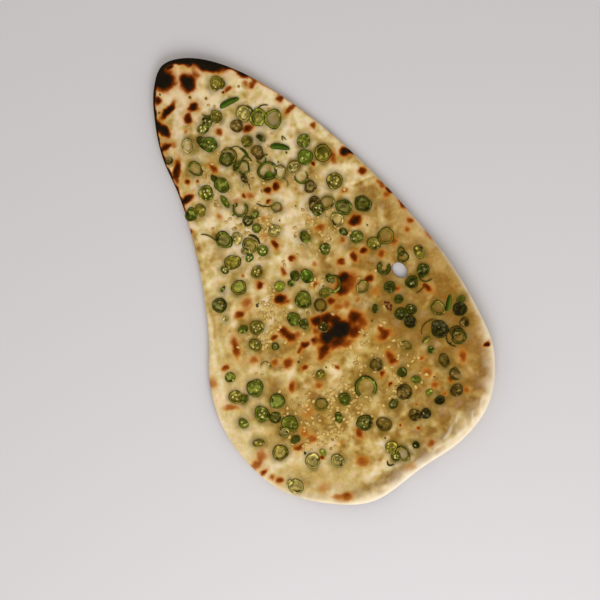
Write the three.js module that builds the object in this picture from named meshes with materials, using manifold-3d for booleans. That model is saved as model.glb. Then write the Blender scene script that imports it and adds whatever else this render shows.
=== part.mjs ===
// Family-size naan: one stretched teardrop of leavened dough, flat underneath, its rim curled up and
// swollen into a lip round the broad end, with one small torn hole. It is topped with slices of green
// chilli and sesame seeds, baked on. Slices as large as a berry are pieces of their own; smaller
// slices and the seeds are one with the bread.
//
// Millimetres. +Y runs from the broad end to the pulled-out tip, +Z is up, and the origin is on the
// underside, at the middle of the bread.

import * as THREE from "three";
import { mergeVertices } from "three/addons/utils/BufferGeometryUtils.js";
import Module from "manifold-3d";

const wasm = await Module();
wasm.setup();

// ---------------------------------------------------------------- bread

// Where the rim passes, clockwise from the tip: across, along.
const OUTLINE = [
  [-23, 210], [7, 199], [39, 165], [70, 110], [92, 54], [107, 2], [118, -50], [121.5, -105],
  [117, -142], [95, -177], [60, -196], [17, -202.5], [-31, -209.7], [-66, -196], [-98, -169],
  [-115, -135], [-121.5, -93], [-114, -54], [-96, -16], [-80, 28], [-69, 72], [-64, 104],
  [-62, 137], [-55, 165], [-42, 194],
];
const CENTRE = new THREE.Vector2(0, -25); // where the spokes of the surface meet
const SPOKES = 84;
const RIM_SAMPLES = 336; // points on the rim that distances are measured to

// Shares of the way from the centre to the rim at which the surface has a ring of points.
const TOP_RINGS = [0.15, 0.27, 0.38, 0.49, 0.6, 0.7, 0.79, 0.86, 0.91, 0.95, 0.975, 0.992];
const UNDERSIDE_RINGS = [0.48, 0.62, 0.74, 0.84, 0.92, 0.97, 0.992];

const MIDDLE_THICKNESS = 4.6;
const TIP_THICKNESS = 3;
const TIP_FROM = 120; // along: the dough starts to thin here
const TIP_TO = 200;
const NOSE = 3.2; // how far in from the rim the edge is rounded
const LIP_IN = 8; // the lip's crest is this far in from the rim
const LIP_WIDTH = 7;

// Round the rim: direction from the centre in degrees, how high the underside curls up there, from
// how far in, and how much thicker the lip is.
const RIM = [
  { at: -180, lift: 3, from: 44, lip: 0.6 },
  { at: -135, lift: 4, from: 44, lip: 0.8 },
  { at: -95, lift: 8, from: 52, lip: 2 },
  { at: -60, lift: 13, from: 68, lip: 3 },
  { at: -25, lift: 13, from: 82, lip: 2.4 },
  { at: 10, lift: 6, from: 70, lip: 1 },
  { at: 60, lift: 2.5, from: 44, lip: 0.3 },
  { at: 92, lift: 8, from: 44, lip: 0 },
  { at: 120, lift: 4, from: 44, lip: 0.2 },
  { at: 180, lift: 3, from: 44, lip: 0.6 },
];

// Blisters that rose on the top: across, along, radius, height.
const BLISTERS = [
  [8, -65, 22, 2.6], [30, -29, 13, 1.8], [-26, -17, 9, 1.5], [-33, -48, 12, 1.4], [62, 14, 9, 1.3],
  [-80, -38, 10, 1], [-29, 196, 9, 1.2], [-12, 187, 8, 1.2], [42, -82, 9, 1.2], [6, 62, 9, 1.3],
];

const SWELL_HEIGHT = 0.45; // broad unevenness of the top
const SWELL_ACROSS = 17;
const SWELL_ALONG = 23;

// The torn hole: an oval through the bread, its dough thinned all round.
const HOLE = { across: 77.5, along: -42, halfWidth: 5.6, halfLength: 7.6, turn: 0.25 };
const HOLE_EDGE_THICKNESS = 1.6;
const HOLE_THINNED_TO = 17; // from its middle
const HOLE_SIDES = 20;

// ------------------------------------------------------------- toppings

const CONTACT_GAP = 0.3; // between a loose slice and the bread
const CLEARANCE = 0.5; // between what is fused to the bread and a loose slice

// Loose slices, where they lie: across, along, diameter. Slices cut through the seeds are discs with
// a sunk middle, slices from the hollow end are rings, and broken rings are arcs that also have the
// direction in which they gape. Strips have their length and the way they point instead.
const DISCS = [
  [9, 175, 13], [18, 141, 15], [8, 134, 12], [-20, 130, 13], [-13, 112, 13], [54, 96, 12], [64, 79, 16],
  [49, 83, 13], [36, 80, 12], [62, 53, 15], [-27, 94, 15], [-42, 94, 14], [38, 42, 16], [59, 29, 15],
  [75, 24, 16], [-47, 51, 16], [-29, 36, 15], [-49, 30, 15], [-34, 13, 12], [-54, 8, 14], [-76, 2, 13],
  [-9, -27, 16], [95, -51, 13], [82, -56, 12], [108, -95, 13], [85, -103, 16], [79, -144, 12],
  [74, -157, 12], [22, -106, 12], [33, -138, 14], [-10, -146, 15], [4.5, -155, 14], [-69, -95, 14],
  [-81, -76, 15], [-100, -75, 12], [-64, -43, 12], [-56, -30, 13], [-24, -38, 12], [-86, -99, 14],
  [-68, -117, 15], [-87, -136, 14], [-65, -155, 14], [-46, -165, 12], [-88, -168, 14],
];
const RINGS = [
  [39, 125, 17], [-41, 117, 15], [-3, 99, 13], [14, 87, 18], [80, -10, 16], [2, -38, 12], [92, -86, 14],
  [97, -116, 14], [7, -185, 14],
];
const ARCS = [
  [-22, 68, 13, 63], [66, -34, 12, 52], [5, -119, 19, -110], [20, -26, 15, 150],
];
const STRIPS = [
  [12, 155, 16, 5], [33, 100, 17, -30],
];
const SLICE_HEIGHT = 2.6;
const SLICE_SIDES = 10;
const DISC_WALL = 0.26; // share of the radius
const DISC_SUNK = 1.1;
const RING_WALL = 0.22;
const ARC_WALL = 0.3;
const ARC_GAP = 1.5; // radians left open
const STRIP_HALF_WIDTH = 3;
const STRIP_HALF_HEIGHT = 1.7;
const STRIP_SIDES = 8;
const MOST_OVAL = 0.14; // a slice is up to this much narrower one way
const SLICE_GREEN = 0x5d7a26;

// Slices too small to be loose, baked into the bread: across, along, diameter.
const SMALL_SLICES = [
  [-3, 150, 11], [-12, 148, 11], [-20, 145, 9], [-29, 137, 9], [-38, 138, 11], [10, 119, 10], [23, 115, 8],
  [15, 106, 9], [39, 67, 11], [26, 75, 8], [-31, 80, 8], [-62, 83, 11], [-52, 82, 9], [-21, 55, 9],
  [-17, 47, 8], [-3, 38, 11], [7, 55, 9], [42, 58, 10], [49, 39, 9], [49, 21, 11], [18, 20, 11],
  [28, 3, 10], [49, 10, 7], [57, 0, 11], [68, -15, 10], [-37, 43, 8], [-20, 26, 8], [-60, 21, 8],
  [-6, -5, 9], [4, -11, 11], [-22, -8, 9], [41, -40, 11], [86, -31, 12], [99, -34, 10], [63, -50, 9],
  [65, -64, 8], [61, -76, 10], [71, -77, 9], [66, -86, 10], [106, -108, 8], [76, -130, 10],
  [53, -104, 9], [40, -123, 9], [48, -131, 7], [20, -145, 9], [57, -159, 9], [33, -161, 10],
  [42, -166, 9], [1, -173, 10], [-28, -132, 9], [-16, -121, 11], [-36, -115, 11], [-91, -84, 8],
  [-96, -58, 10], [-64, -64, 8], [-67, -22, 8], [-17, -48, 8], [-4, -57, 10], [-77, -109, 8],
  [-103, -100, 10], [-100, -121, 10], [-69, -132, 8],
];
const SMALL_HEIGHT = 2;
const SMALL_SIDES = 8;
const SMALL_BEVEL = 0.84; // top radius over bottom radius
const EMBEDDED = 0.8; // how deep what is fused reaches into the bread

// Sesame: drifts of seeds: across, along, radius, how many.
const DRIFTS = [
  [-21, 54, 20, 8], [-37, -35, 26, 10], [40, 22, 22, 8], [-48, -133, 22, 8], [-7, -121, 34, 12],
  [28, -85, 24, 8], [44, -118, 18, 4],
];
const SEED_LENGTH = 3.4;
const SEED_WIDTH = 2.1;
const SEED_HEIGHT = 1.6;
const FIRST_DRAW = 41;

const SEGMENTS_PER_ARC_STEP = 2; // an arc of a THREE.Shape has two sides for each curve segment

// ------------------------------------------------------------ small tools

// The same draw of numbers between 0 and 1 every time.
function drawer(first) {
  let state = first;
  return () => {
    state = (state * 1664525 + 1013904223) % 4294967296;
    return state / 4294967296;
  };
}

function smoothstep(from, to, value) {
  return THREE.MathUtils.smoothstep(value, from, to);
}

function toSolid(geometry) {
  const bare = geometry.clone();
  bare.deleteAttribute("normal");
  bare.deleteAttribute("uv");
  const merged = mergeVertices(bare, 1e-3);
  return new wasm.Manifold(
    new wasm.Mesh({
      numProp: 3,
      vertProperties: new Float32Array(merged.attributes.position.array),
      triVerts: new Uint32Array(merged.index.array),
    }),
  );
}

function toGeometry(solid) {
  const mesh = solid.getMesh();
  const geometry = new THREE.BufferGeometry();
  geometry.setAttribute("position", new THREE.BufferAttribute(mesh.vertProperties, mesh.numProp));
  geometry.setIndex(new THREE.BufferAttribute(mesh.triVerts, 1));
  geometry.computeVertexNormals();
  return geometry;
}

function named(name, geometry, colour, roughness) {
  const material = new THREE.MeshStandardMaterial({ color: colour, roughness, metalness: 0 });
  const mesh = new THREE.Mesh(geometry, material);
  mesh.name = name;
  return mesh;
}

// -------------------------------------------------------- the bread's form

const rimCurve = new THREE.CatmullRomCurve3(
  OUTLINE.map(([x, y]) => new THREE.Vector3(x, y, 0)),
  true,
  "catmullrom",
  0.5,
);
const rimSamples = rimCurve.getSpacedPoints(RIM_SAMPLES).slice(0, -1);

function distanceFromRim(x, y) {
  let nearest = Infinity;
  rimSamples.forEach((a, i) => {
    const b = rimSamples[(i + 1) % rimSamples.length];
    const dx = b.x - a.x;
    const dy = b.y - a.y;
    const share = ((x - a.x) * dx + (y - a.y) * dy) / (dx * dx + dy * dy);
    const t = THREE.MathUtils.clamp(share, 0, 1);
    nearest = Math.min(nearest, Math.hypot(x - a.x - t * dx, y - a.y - t * dy));
  });
  return nearest;
}

// A value given round the rim, eased between the directions where it is stated.
function roundTheRim(x, y, key) {
  const angle = THREE.MathUtils.radToDeg(Math.atan2(y - CENTRE.y, x - CENTRE.x));
  const next = Math.max(1, RIM.findIndex((stop) => stop.at >= angle));
  const a = RIM[next - 1];
  const b = RIM[next];
  return THREE.MathUtils.lerp(a[key], b[key], smoothstep(a.at, b.at, angle));
}

function undersideLift(x, y, inward) {
  const curl = Math.max(0, 1 - inward / roundTheRim(x, y, "from"));
  return roundTheRim(x, y, "lift") * curl * curl;
}

function thickness(x, y, inward) {
  const body = THREE.MathUtils.lerp(MIDDLE_THICKNESS, TIP_THICKNESS, smoothstep(TIP_FROM, TIP_TO, y));
  const lip = roundTheRim(x, y, "lip") * Math.exp(-(((inward - LIP_IN) / LIP_WIDTH) ** 2));
  const fromHole = Math.hypot(x - HOLE.across, y - HOLE.along);
  const whole = smoothstep(HOLE.halfWidth, HOLE_THINNED_TO, fromHole);
  return THREE.MathUtils.lerp(HOLE_EDGE_THICKNESS, body + lip, whole);
}

// How round the edge is: 0 at the rim, 1 from the nose inwards.
function fullness(inward) {
  const short = 1 - Math.min(inward / NOSE, 1);
  return Math.sqrt(1 - short * short);
}

function reliefOfTop(x, y, inward) {
  const swell = SWELL_HEIGHT * Math.sin(x / SWELL_ACROSS) * Math.sin(y / SWELL_ALONG);
  const blisters = BLISTERS.reduce(
    (sum, [bx, by, radius, height]) =>
      sum + height * Math.exp(-((x - bx) ** 2 + (y - by) ** 2) / (radius * radius * 0.5)),
    0,
  );
  const fromHole = Math.hypot(x - HOLE.across, y - HOLE.along);
  return (swell + blisters) * smoothstep(0, LIP_IN, inward) * smoothstep(0, HOLE_THINNED_TO, fromHole);
}

function undersideAt(x, y) {
  const inward = distanceFromRim(x, y);
  const half = thickness(x, y, inward) / 2;
  return undersideLift(x, y, inward) + half * (1 - fullness(inward));
}

function topAt(x, y) {
  const inward = distanceFromRim(x, y);
  const half = thickness(x, y, inward) / 2;
  return undersideLift(x, y, inward) + half * (1 + fullness(inward)) + reliefOfTop(x, y, inward);
}

// The bread as one closed surface of rings: the middle of the top, out to the rim, and back
// underneath to the middle.
function breadGeometry() {
  const rim = rimCurve.getSpacedPoints(SPOKES).slice(0, -1).reverse();
  const rings = [
    ...TOP_RINGS.map((share) => ({ share, height: topAt })),
    { share: 1, height: topAt },
    ...UNDERSIDE_RINGS.toReversed().map((share) => ({ share, height: undersideAt })),
  ];
  const points = rings.flatMap(({ share, height }) =>
    rim.map((point) => {
      const x = THREE.MathUtils.lerp(CENTRE.x, point.x, share);
      const y = THREE.MathUtils.lerp(CENTRE.y, point.y, share);
      return new THREE.Vector3(x, y, height(x, y));
    }),
  );
  const topCentre = points.push(new THREE.Vector3(CENTRE.x, CENTRE.y, topAt(CENTRE.x, CENTRE.y))) - 1;
  const bottomCentre = points.push(new THREE.Vector3(CENTRE.x, CENTRE.y, 0)) - 1;
  const triangles = [];
  const lastRing = (rings.length - 1) * SPOKES;
  for (let spoke = 0; spoke < SPOKES; spoke++) {
    const next = (spoke + 1) % SPOKES;
    triangles.push(topCentre, spoke, next);
    triangles.push(bottomCentre, lastRing + next, lastRing + spoke);
    for (let ring = 0; ring < lastRing; ring += SPOKES) {
      const [a, b] = [ring + spoke, ring + next];
      const [c, d] = [a + SPOKES, b + SPOKES];
      triangles.push(a, c, b, b, c, d);
    }
  }
  const geometry = new THREE.BufferGeometry().setFromPoints(points);
  geometry.setIndex(triangles);
  return geometry;
}

function holeCutter() {
  const oval = new THREE.Shape();
  oval.absellipse(0, 0, HOLE.halfWidth, HOLE.halfLength, 0, 2 * Math.PI);
  const depth = 6 * MIDDLE_THICKNESS;
  const cutter = new THREE.ExtrudeGeometry(oval, {
    depth,
    bevelEnabled: false,
    curveSegments: HOLE_SIDES / SEGMENTS_PER_ARC_STEP,
  });
  cutter.rotateZ(HOLE.turn);
  cutter.translate(HOLE.across, HOLE.along, -depth / 2);
  return toSolid(cutter);
}

// ------------------------------------------------------------ loose slices

const plainBread = toSolid(breadGeometry()).subtract(holeCutter());
const plainBreadMesh = new THREE.Mesh(toGeometry(plainBread));
const lookDown = new THREE.Raycaster();
const HIGH = 100;
const DOWN = new THREE.Vector3(0, 0, -1);
const UP = new THREE.Vector3(0, 0, 1);

function breadHeight(x, y) {
  lookDown.set(new THREE.Vector3(x, y, HIGH), DOWN);
  const [hit] = lookDown.intersectObject(plainBreadMesh);
  return hit ? hit.point.z : 0;
}

// Lays a piece on the bread: tilted as the bread is under it, and just clear of its highest point.
const FOOTPRINT_SPOKES = 12;
const FOOTPRINT_RINGS = 4;
function layOnBread(piece, x, y, reach, turn) {
  const slopeX = (topAt(x + reach, y) - topAt(x - reach, y)) / (2 * reach);
  const slopeY = (topAt(x, y + reach) - topAt(x, y - reach)) / (2 * reach);
  let height = breadHeight(x, y);
  for (let ring = 1; ring <= FOOTPRINT_RINGS; ring++) {
    for (let spoke = 0; spoke < FOOTPRINT_SPOKES; spoke++) {
      const angle = (2 * Math.PI * spoke) / FOOTPRINT_SPOKES;
      const dx = ((reach * ring) / FOOTPRINT_RINGS) * Math.cos(angle);
      const dy = ((reach * ring) / FOOTPRINT_RINGS) * Math.sin(angle);
      height = Math.max(height, breadHeight(x + dx, y + dy) - slopeX * dx - slopeY * dy);
    }
  }
  const tilt = new THREE.Quaternion().setFromUnitVectors(
    UP,
    new THREE.Vector3(-slopeX, -slopeY, 1).normalize(),
  );
  piece.quaternion.copy(tilt).multiply(new THREE.Quaternion().setFromAxisAngle(UP, turn));
  piece.position.set(x, y, height + CONTACT_GAP);
  return piece;
}

function turned(profile) {
  const points = profile.map(([radius, height]) => new THREE.Vector2(radius, height));
  return new THREE.LatheGeometry(points, SLICE_SIDES).rotateX(Math.PI / 2);
}

function discGeometry(radius) {
  const inner = radius * (1 - DISC_WALL);
  return turned([
    [0, 0],
    [radius * 0.94, 0],
    [radius, SLICE_HEIGHT / 2],
    [inner, SLICE_HEIGHT],
    [0, SLICE_HEIGHT - DISC_SUNK],
  ]);
}

function ringGeometry(radius) {
  const inner = radius * (1 - RING_WALL);
  return turned([
    [inner, 0],
    [radius, 0],
    [radius, SLICE_HEIGHT],
    [inner, SLICE_HEIGHT],
    [inner, 0],
  ]);
}

function arcGeometry(radius, gapeDegrees) {
  const gape = THREE.MathUtils.degToRad(gapeDegrees);
  const start = gape + ARC_GAP / 2;
  const end = gape - ARC_GAP / 2 + 2 * Math.PI;
  const shape = new THREE.Shape();
  shape.absarc(0, 0, radius, start, end, false);
  shape.absarc(0, 0, radius * (1 - ARC_WALL), end, start, true);
  return new THREE.ExtrudeGeometry(shape, {
    depth: SLICE_HEIGHT,
    bevelEnabled: false,
    curveSegments: SLICE_SIDES / SEGMENTS_PER_ARC_STEP,
  });
}

function stripGeometry(length) {
  const straight = length - 2 * STRIP_HALF_WIDTH;
  const capsule = new THREE.CapsuleGeometry(STRIP_HALF_WIDTH, straight, 2, STRIP_SIDES);
  capsule.rotateZ(Math.PI / 2);
  capsule.scale(1, 1, STRIP_HALF_HEIGHT / STRIP_HALF_WIDTH);
  return capsule.translate(0, 0, STRIP_HALF_HEIGHT);
}

const oval = drawer(FIRST_DRAW);

function ovalSlice(name, geometry, [x, y, diameter]) {
  const narrow = 1 - MOST_OVAL * oval();
  const turn = 2 * Math.PI * oval();
  const piece = named(name, geometry.scale(1, narrow, 1), SLICE_GREEN, 0.35);
  return layOnBread(piece, x, y, diameter / 2, turn);
}

function numbered(kind, index) {
  return `chilli_${kind}_${String(index + 1).padStart(2, "0")}`;
}

function looseSlices() {
  const slices = new THREE.Group();
  DISCS.forEach((place, i) => {
    slices.add(ovalSlice(numbered("disc", i), discGeometry(place[2] / 2), place));
  });
  RINGS.forEach((place, i) => {
    slices.add(ovalSlice(numbered("ring", i), ringGeometry(place[2] / 2), place));
  });
  ARCS.forEach(([x, y, diameter, gape], i) => {
    const piece = named(numbered("arc", i), arcGeometry(diameter / 2, gape), SLICE_GREEN, 0.35);
    slices.add(layOnBread(piece, x, y, diameter / 2, 0));
  });
  STRIPS.forEach(([x, y, length, direction], i) => {
    const piece = named(numbered("strip", i), stripGeometry(length), SLICE_GREEN, 0.35);
    slices.add(layOnBread(piece, x, y, length / 2, THREE.MathUtils.degToRad(direction)));
  });
  return slices;
}

// ----------------------------------------------------- what the bread holds

const LOOSE = [...DISCS, ...RINGS, ...ARCS, ...STRIPS];

function isClear(x, y, radius) {
  const ofSlices = LOOSE.every(([sx, sy, size]) => Math.hypot(x - sx, y - sy) > size / 2 + radius + CLEARANCE);
  const ofHole = Math.hypot(x - HOLE.across, y - HOLE.along) > HOLE.halfLength + radius + CLEARANCE;
  return ofSlices && ofHole;
}

function smallSliceSolid([x, y, diameter]) {
  const radius = diameter / 2;
  const disc = new THREE.CylinderGeometry(
    radius * SMALL_BEVEL,
    radius,
    SMALL_HEIGHT + EMBEDDED,
    SMALL_SIDES,
  );
  disc.rotateX(Math.PI / 2);
  return toSolid(disc.translate(x, y, breadHeight(x, y) + (SMALL_HEIGHT - EMBEDDED) / 2));
}

function seedSolid(x, y, turn) {
  const seed = new THREE.IcosahedronGeometry(0.5, 0);
  seed.scale(SEED_LENGTH, SEED_WIDTH, SEED_HEIGHT);
  seed.rotateZ(turn);
  return toSolid(seed.translate(x, y, breadHeight(x, y) + SEED_HEIGHT / 5));
}

// The seeds of each drift, evenly over its round, clear of every slice.
function seedSolids() {
  const draw = drawer(FIRST_DRAW);
  const crowded = SMALL_SLICES.map(([x, y, diameter]) => [x, y, diameter / 2]);
  const solids = [];
  DRIFTS.forEach(([cx, cy, radius, count]) => {
    for (let i = 0; i < count; i++) {
      const away = radius * Math.sqrt(draw());
      const angle = 2 * Math.PI * draw();
      const turn = Math.PI * draw();
      const x = cx + away * Math.cos(angle);
      const y = cy + away * Math.sin(angle);
      const free = crowded.every(([sx, sy, r]) => Math.hypot(x - sx, y - sy) > r + SEED_LENGTH);
      if (free && isClear(x, y, SEED_LENGTH / 2)) {
        solids.push(seedSolid(x, y, turn));
        crowded.push([x, y, SEED_LENGTH / 2]);
      }
    }
  });
  return solids;
}

function breadSolid() {
  const clearSlices = SMALL_SLICES.filter(([x, y, diameter]) => isClear(x, y, diameter / 2));
  const toppings = [...clearSlices.map(smallSliceSolid), ...seedSolids()];
  return toppings.reduce((bread, topping) => bread.add(topping), plainBread);
}

// ---------------------------------------------------------------- the naan

const naan = new THREE.Group();
naan.add(named("naan_bread", toGeometry(breadSolid()), 0xdcc18a, 0.75));
naan.add(looseSlices());

export default naan;
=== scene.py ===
"""Family-size naan topped with green chilli and sesame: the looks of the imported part."""

import math

import bpy
import numpy as np
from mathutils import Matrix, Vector
from mathutils.geometry import delaunay_2d_cdt


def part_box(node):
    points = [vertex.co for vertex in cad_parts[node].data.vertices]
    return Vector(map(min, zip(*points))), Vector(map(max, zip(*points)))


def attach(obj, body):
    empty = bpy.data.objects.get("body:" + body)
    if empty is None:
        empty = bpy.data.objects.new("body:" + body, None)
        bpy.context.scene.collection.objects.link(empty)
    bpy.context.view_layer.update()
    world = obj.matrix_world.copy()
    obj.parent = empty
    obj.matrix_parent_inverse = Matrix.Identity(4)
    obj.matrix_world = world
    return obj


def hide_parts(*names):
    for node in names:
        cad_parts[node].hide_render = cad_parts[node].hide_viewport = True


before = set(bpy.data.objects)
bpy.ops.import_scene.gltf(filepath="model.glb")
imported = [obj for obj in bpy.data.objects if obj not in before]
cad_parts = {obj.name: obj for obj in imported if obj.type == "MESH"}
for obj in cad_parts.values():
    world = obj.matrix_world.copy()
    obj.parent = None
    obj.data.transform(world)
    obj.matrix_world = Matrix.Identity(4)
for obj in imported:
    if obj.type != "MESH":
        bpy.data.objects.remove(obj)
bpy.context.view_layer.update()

MM = 0.001  # everything below is in millimetres until it becomes a mesh

# ------------------------------------------------------------ the bread's form

# Where the rim passes, clockwise from the tip.
OUTLINE = [
    (-23, 210), (7, 199), (39, 165), (70, 110), (92, 54), (107, 2), (118, -50), (121.5, -105),
    (117, -142), (95, -177), (60, -196), (17, -202.5), (-31, -209.7), (-66, -196), (-98, -169),
    (-115, -135), (-121.5, -93), (-114, -54), (-96, -16), (-80, 28), (-69, 72), (-64, 104), (-62, 137),
    (-55, 165), (-42, 194),
]
SPAN_SAMPLES = 24
RIM_STEP = 1.15
MEASURED_RIM_STEP = 3.2
CENTRE = (0, -25)

MIDDLE_THICKNESS = 4.6
TIP_THICKNESS = 3
TIP_FROM, TIP_TO = 120, 200
NOSE = 3.2
LIP_IN, LIP_WIDTH = 8, 7

# Round the rim: direction from the centre in degrees, lift of the underside, from how far in it curls
# up, extra thickness of the lip.
RIM = [
    (-180, 3, 44, 0.6), (-135, 4, 44, 0.8), (-95, 8, 52, 2), (-60, 13, 68, 3), (-25, 13, 82, 2.4),
    (10, 6, 70, 1), (60, 2.5, 44, 0.3), (92, 8, 44, 0), (120, 4, 44, 0.2), (180, 3, 44, 0.6),
]

# Blisters: across, along, radius, height.
BLISTERS = [
    (8, -65, 22, 2.6), (30, -29, 13, 1.8), (-26, -17, 9, 1.5), (-33, -48, 12, 1.4), (62, 14, 9, 1.3),
    (-80, -38, 10, 1), (-29, 196, 9, 1.2), (-12, 187, 8, 1.2), (42, -82, 9, 1.2), (6, 62, 9, 1.3),
]
BLISTER_FLATNESS = 0.5
SWELL_HEIGHT, SWELL_ACROSS, SWELL_ALONG = 0.45, 17, 23

# Unevenness comes in layers: how much, how far across its bumps are, seed.
DOUGH_RELIEF = [(0.34, 15, 31), (0.3, 7, 32), (0.16, 3.4, 33)]
UNDERSIDE_RELIEF = [(0.25, 12, 41)]
TOP_FLAT_TO, UNDERSIDE_FLAT_TO = 4, 5  # in from the rim, where the relief is full
SCORCH_RISE = 0.35

HOLE = (77.5, -42)
HOLE_HALF_WIDTH, HOLE_HALF_LENGTH, HOLE_TURN = 5.6, 7.6, 0.25
HOLE_EDGE_THICKNESS = 1.6
HOLE_THINNED_TO = 17
HOLE_FLAT_TO = 1.6 * HOLE_HALF_WIDTH

# Folds in the skin of the dough: from, to, half width, height.
FOLDS = [
    (44, -188, 58, -180, 2, 0.9), (58, -181, 68, -173, 1.4, 0.6), (50, -192, 68, -186, 1.6, 0.6),
    (74, -188, 79, -176, 1.4, 0.8), (66, -186, 71, -178, 1.2, 0.5), (83, -182, 91, -170, 1.6, 0.6),
    (30, -195, 46, -190, 1.6, 0.7), (8, -196, 24, -194, 1.8, 0.5), (62, -190, 84, -182, 1.2, 0.5),
    (60, -183, 64, -176, 1, 0.5), (36, -190, 52, -184, 1.2, 0.45), (88, -176, 96, -166, 1.1, 0.45),
    (65, 43.5, 97, 40.5, 1.6, -0.7), (66, 46, 96, 43.5, 2.4, 0.4), (-104, -44, -88, 4, 2.2, 0.5),
    (-100, -48, -84, 2, 1.4, -0.6), (-96, -30, -80, 30, 1.6, 0.5), (-108, -72, -98, -40, 1.8, 0.5),
    (-105, -78, -94, -46, 1.4, -0.5), (-72, 40, -62, 88, 1.3, -0.5), (-92, -60, -84, -10, 2.6, -0.5),
    (-86, 0, -72, 52, 1.8, -0.45), (-82, 10, -68, 60, 2, 0.4), (-76, 30, -66, 70, 1.6, -0.3),
    (-64, 50, -58, 66, 1.8, 0.3),
]

FOLD_WANDER = [(1.5, 9, 21)], [(1.5, 9, 22)]
FOLD_END = 0.05  # the square of a fold's height at its ends, as a share of the middle's

# How far apart the mesh's points are and how far in from the rim they begin, on top and underneath.
TOP_SPACING, TOP_FILLED_FROM = 1.12, 3.8
LOW_SPACING, LOW_FILLED_FROM = 3.6, 6.5
JITTER = 0.12
FILLED_FROM_HOLE = 1.6
# Loops of points along the rim, this far in, and round the hole, this far out.
TOP_LOOPS, LOW_LOOPS, LOW_COARSE_LOOP = (0.2, 0.6, 1.2, 2, 3), (0.2, 0.6, 1.3, 2.4), 4
TOP_HOLE, SECOND_TOP_HOLE, LOW_HOLE = 0.3, 0.9, 0.4
HOLE_SPOKES = 48
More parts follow.
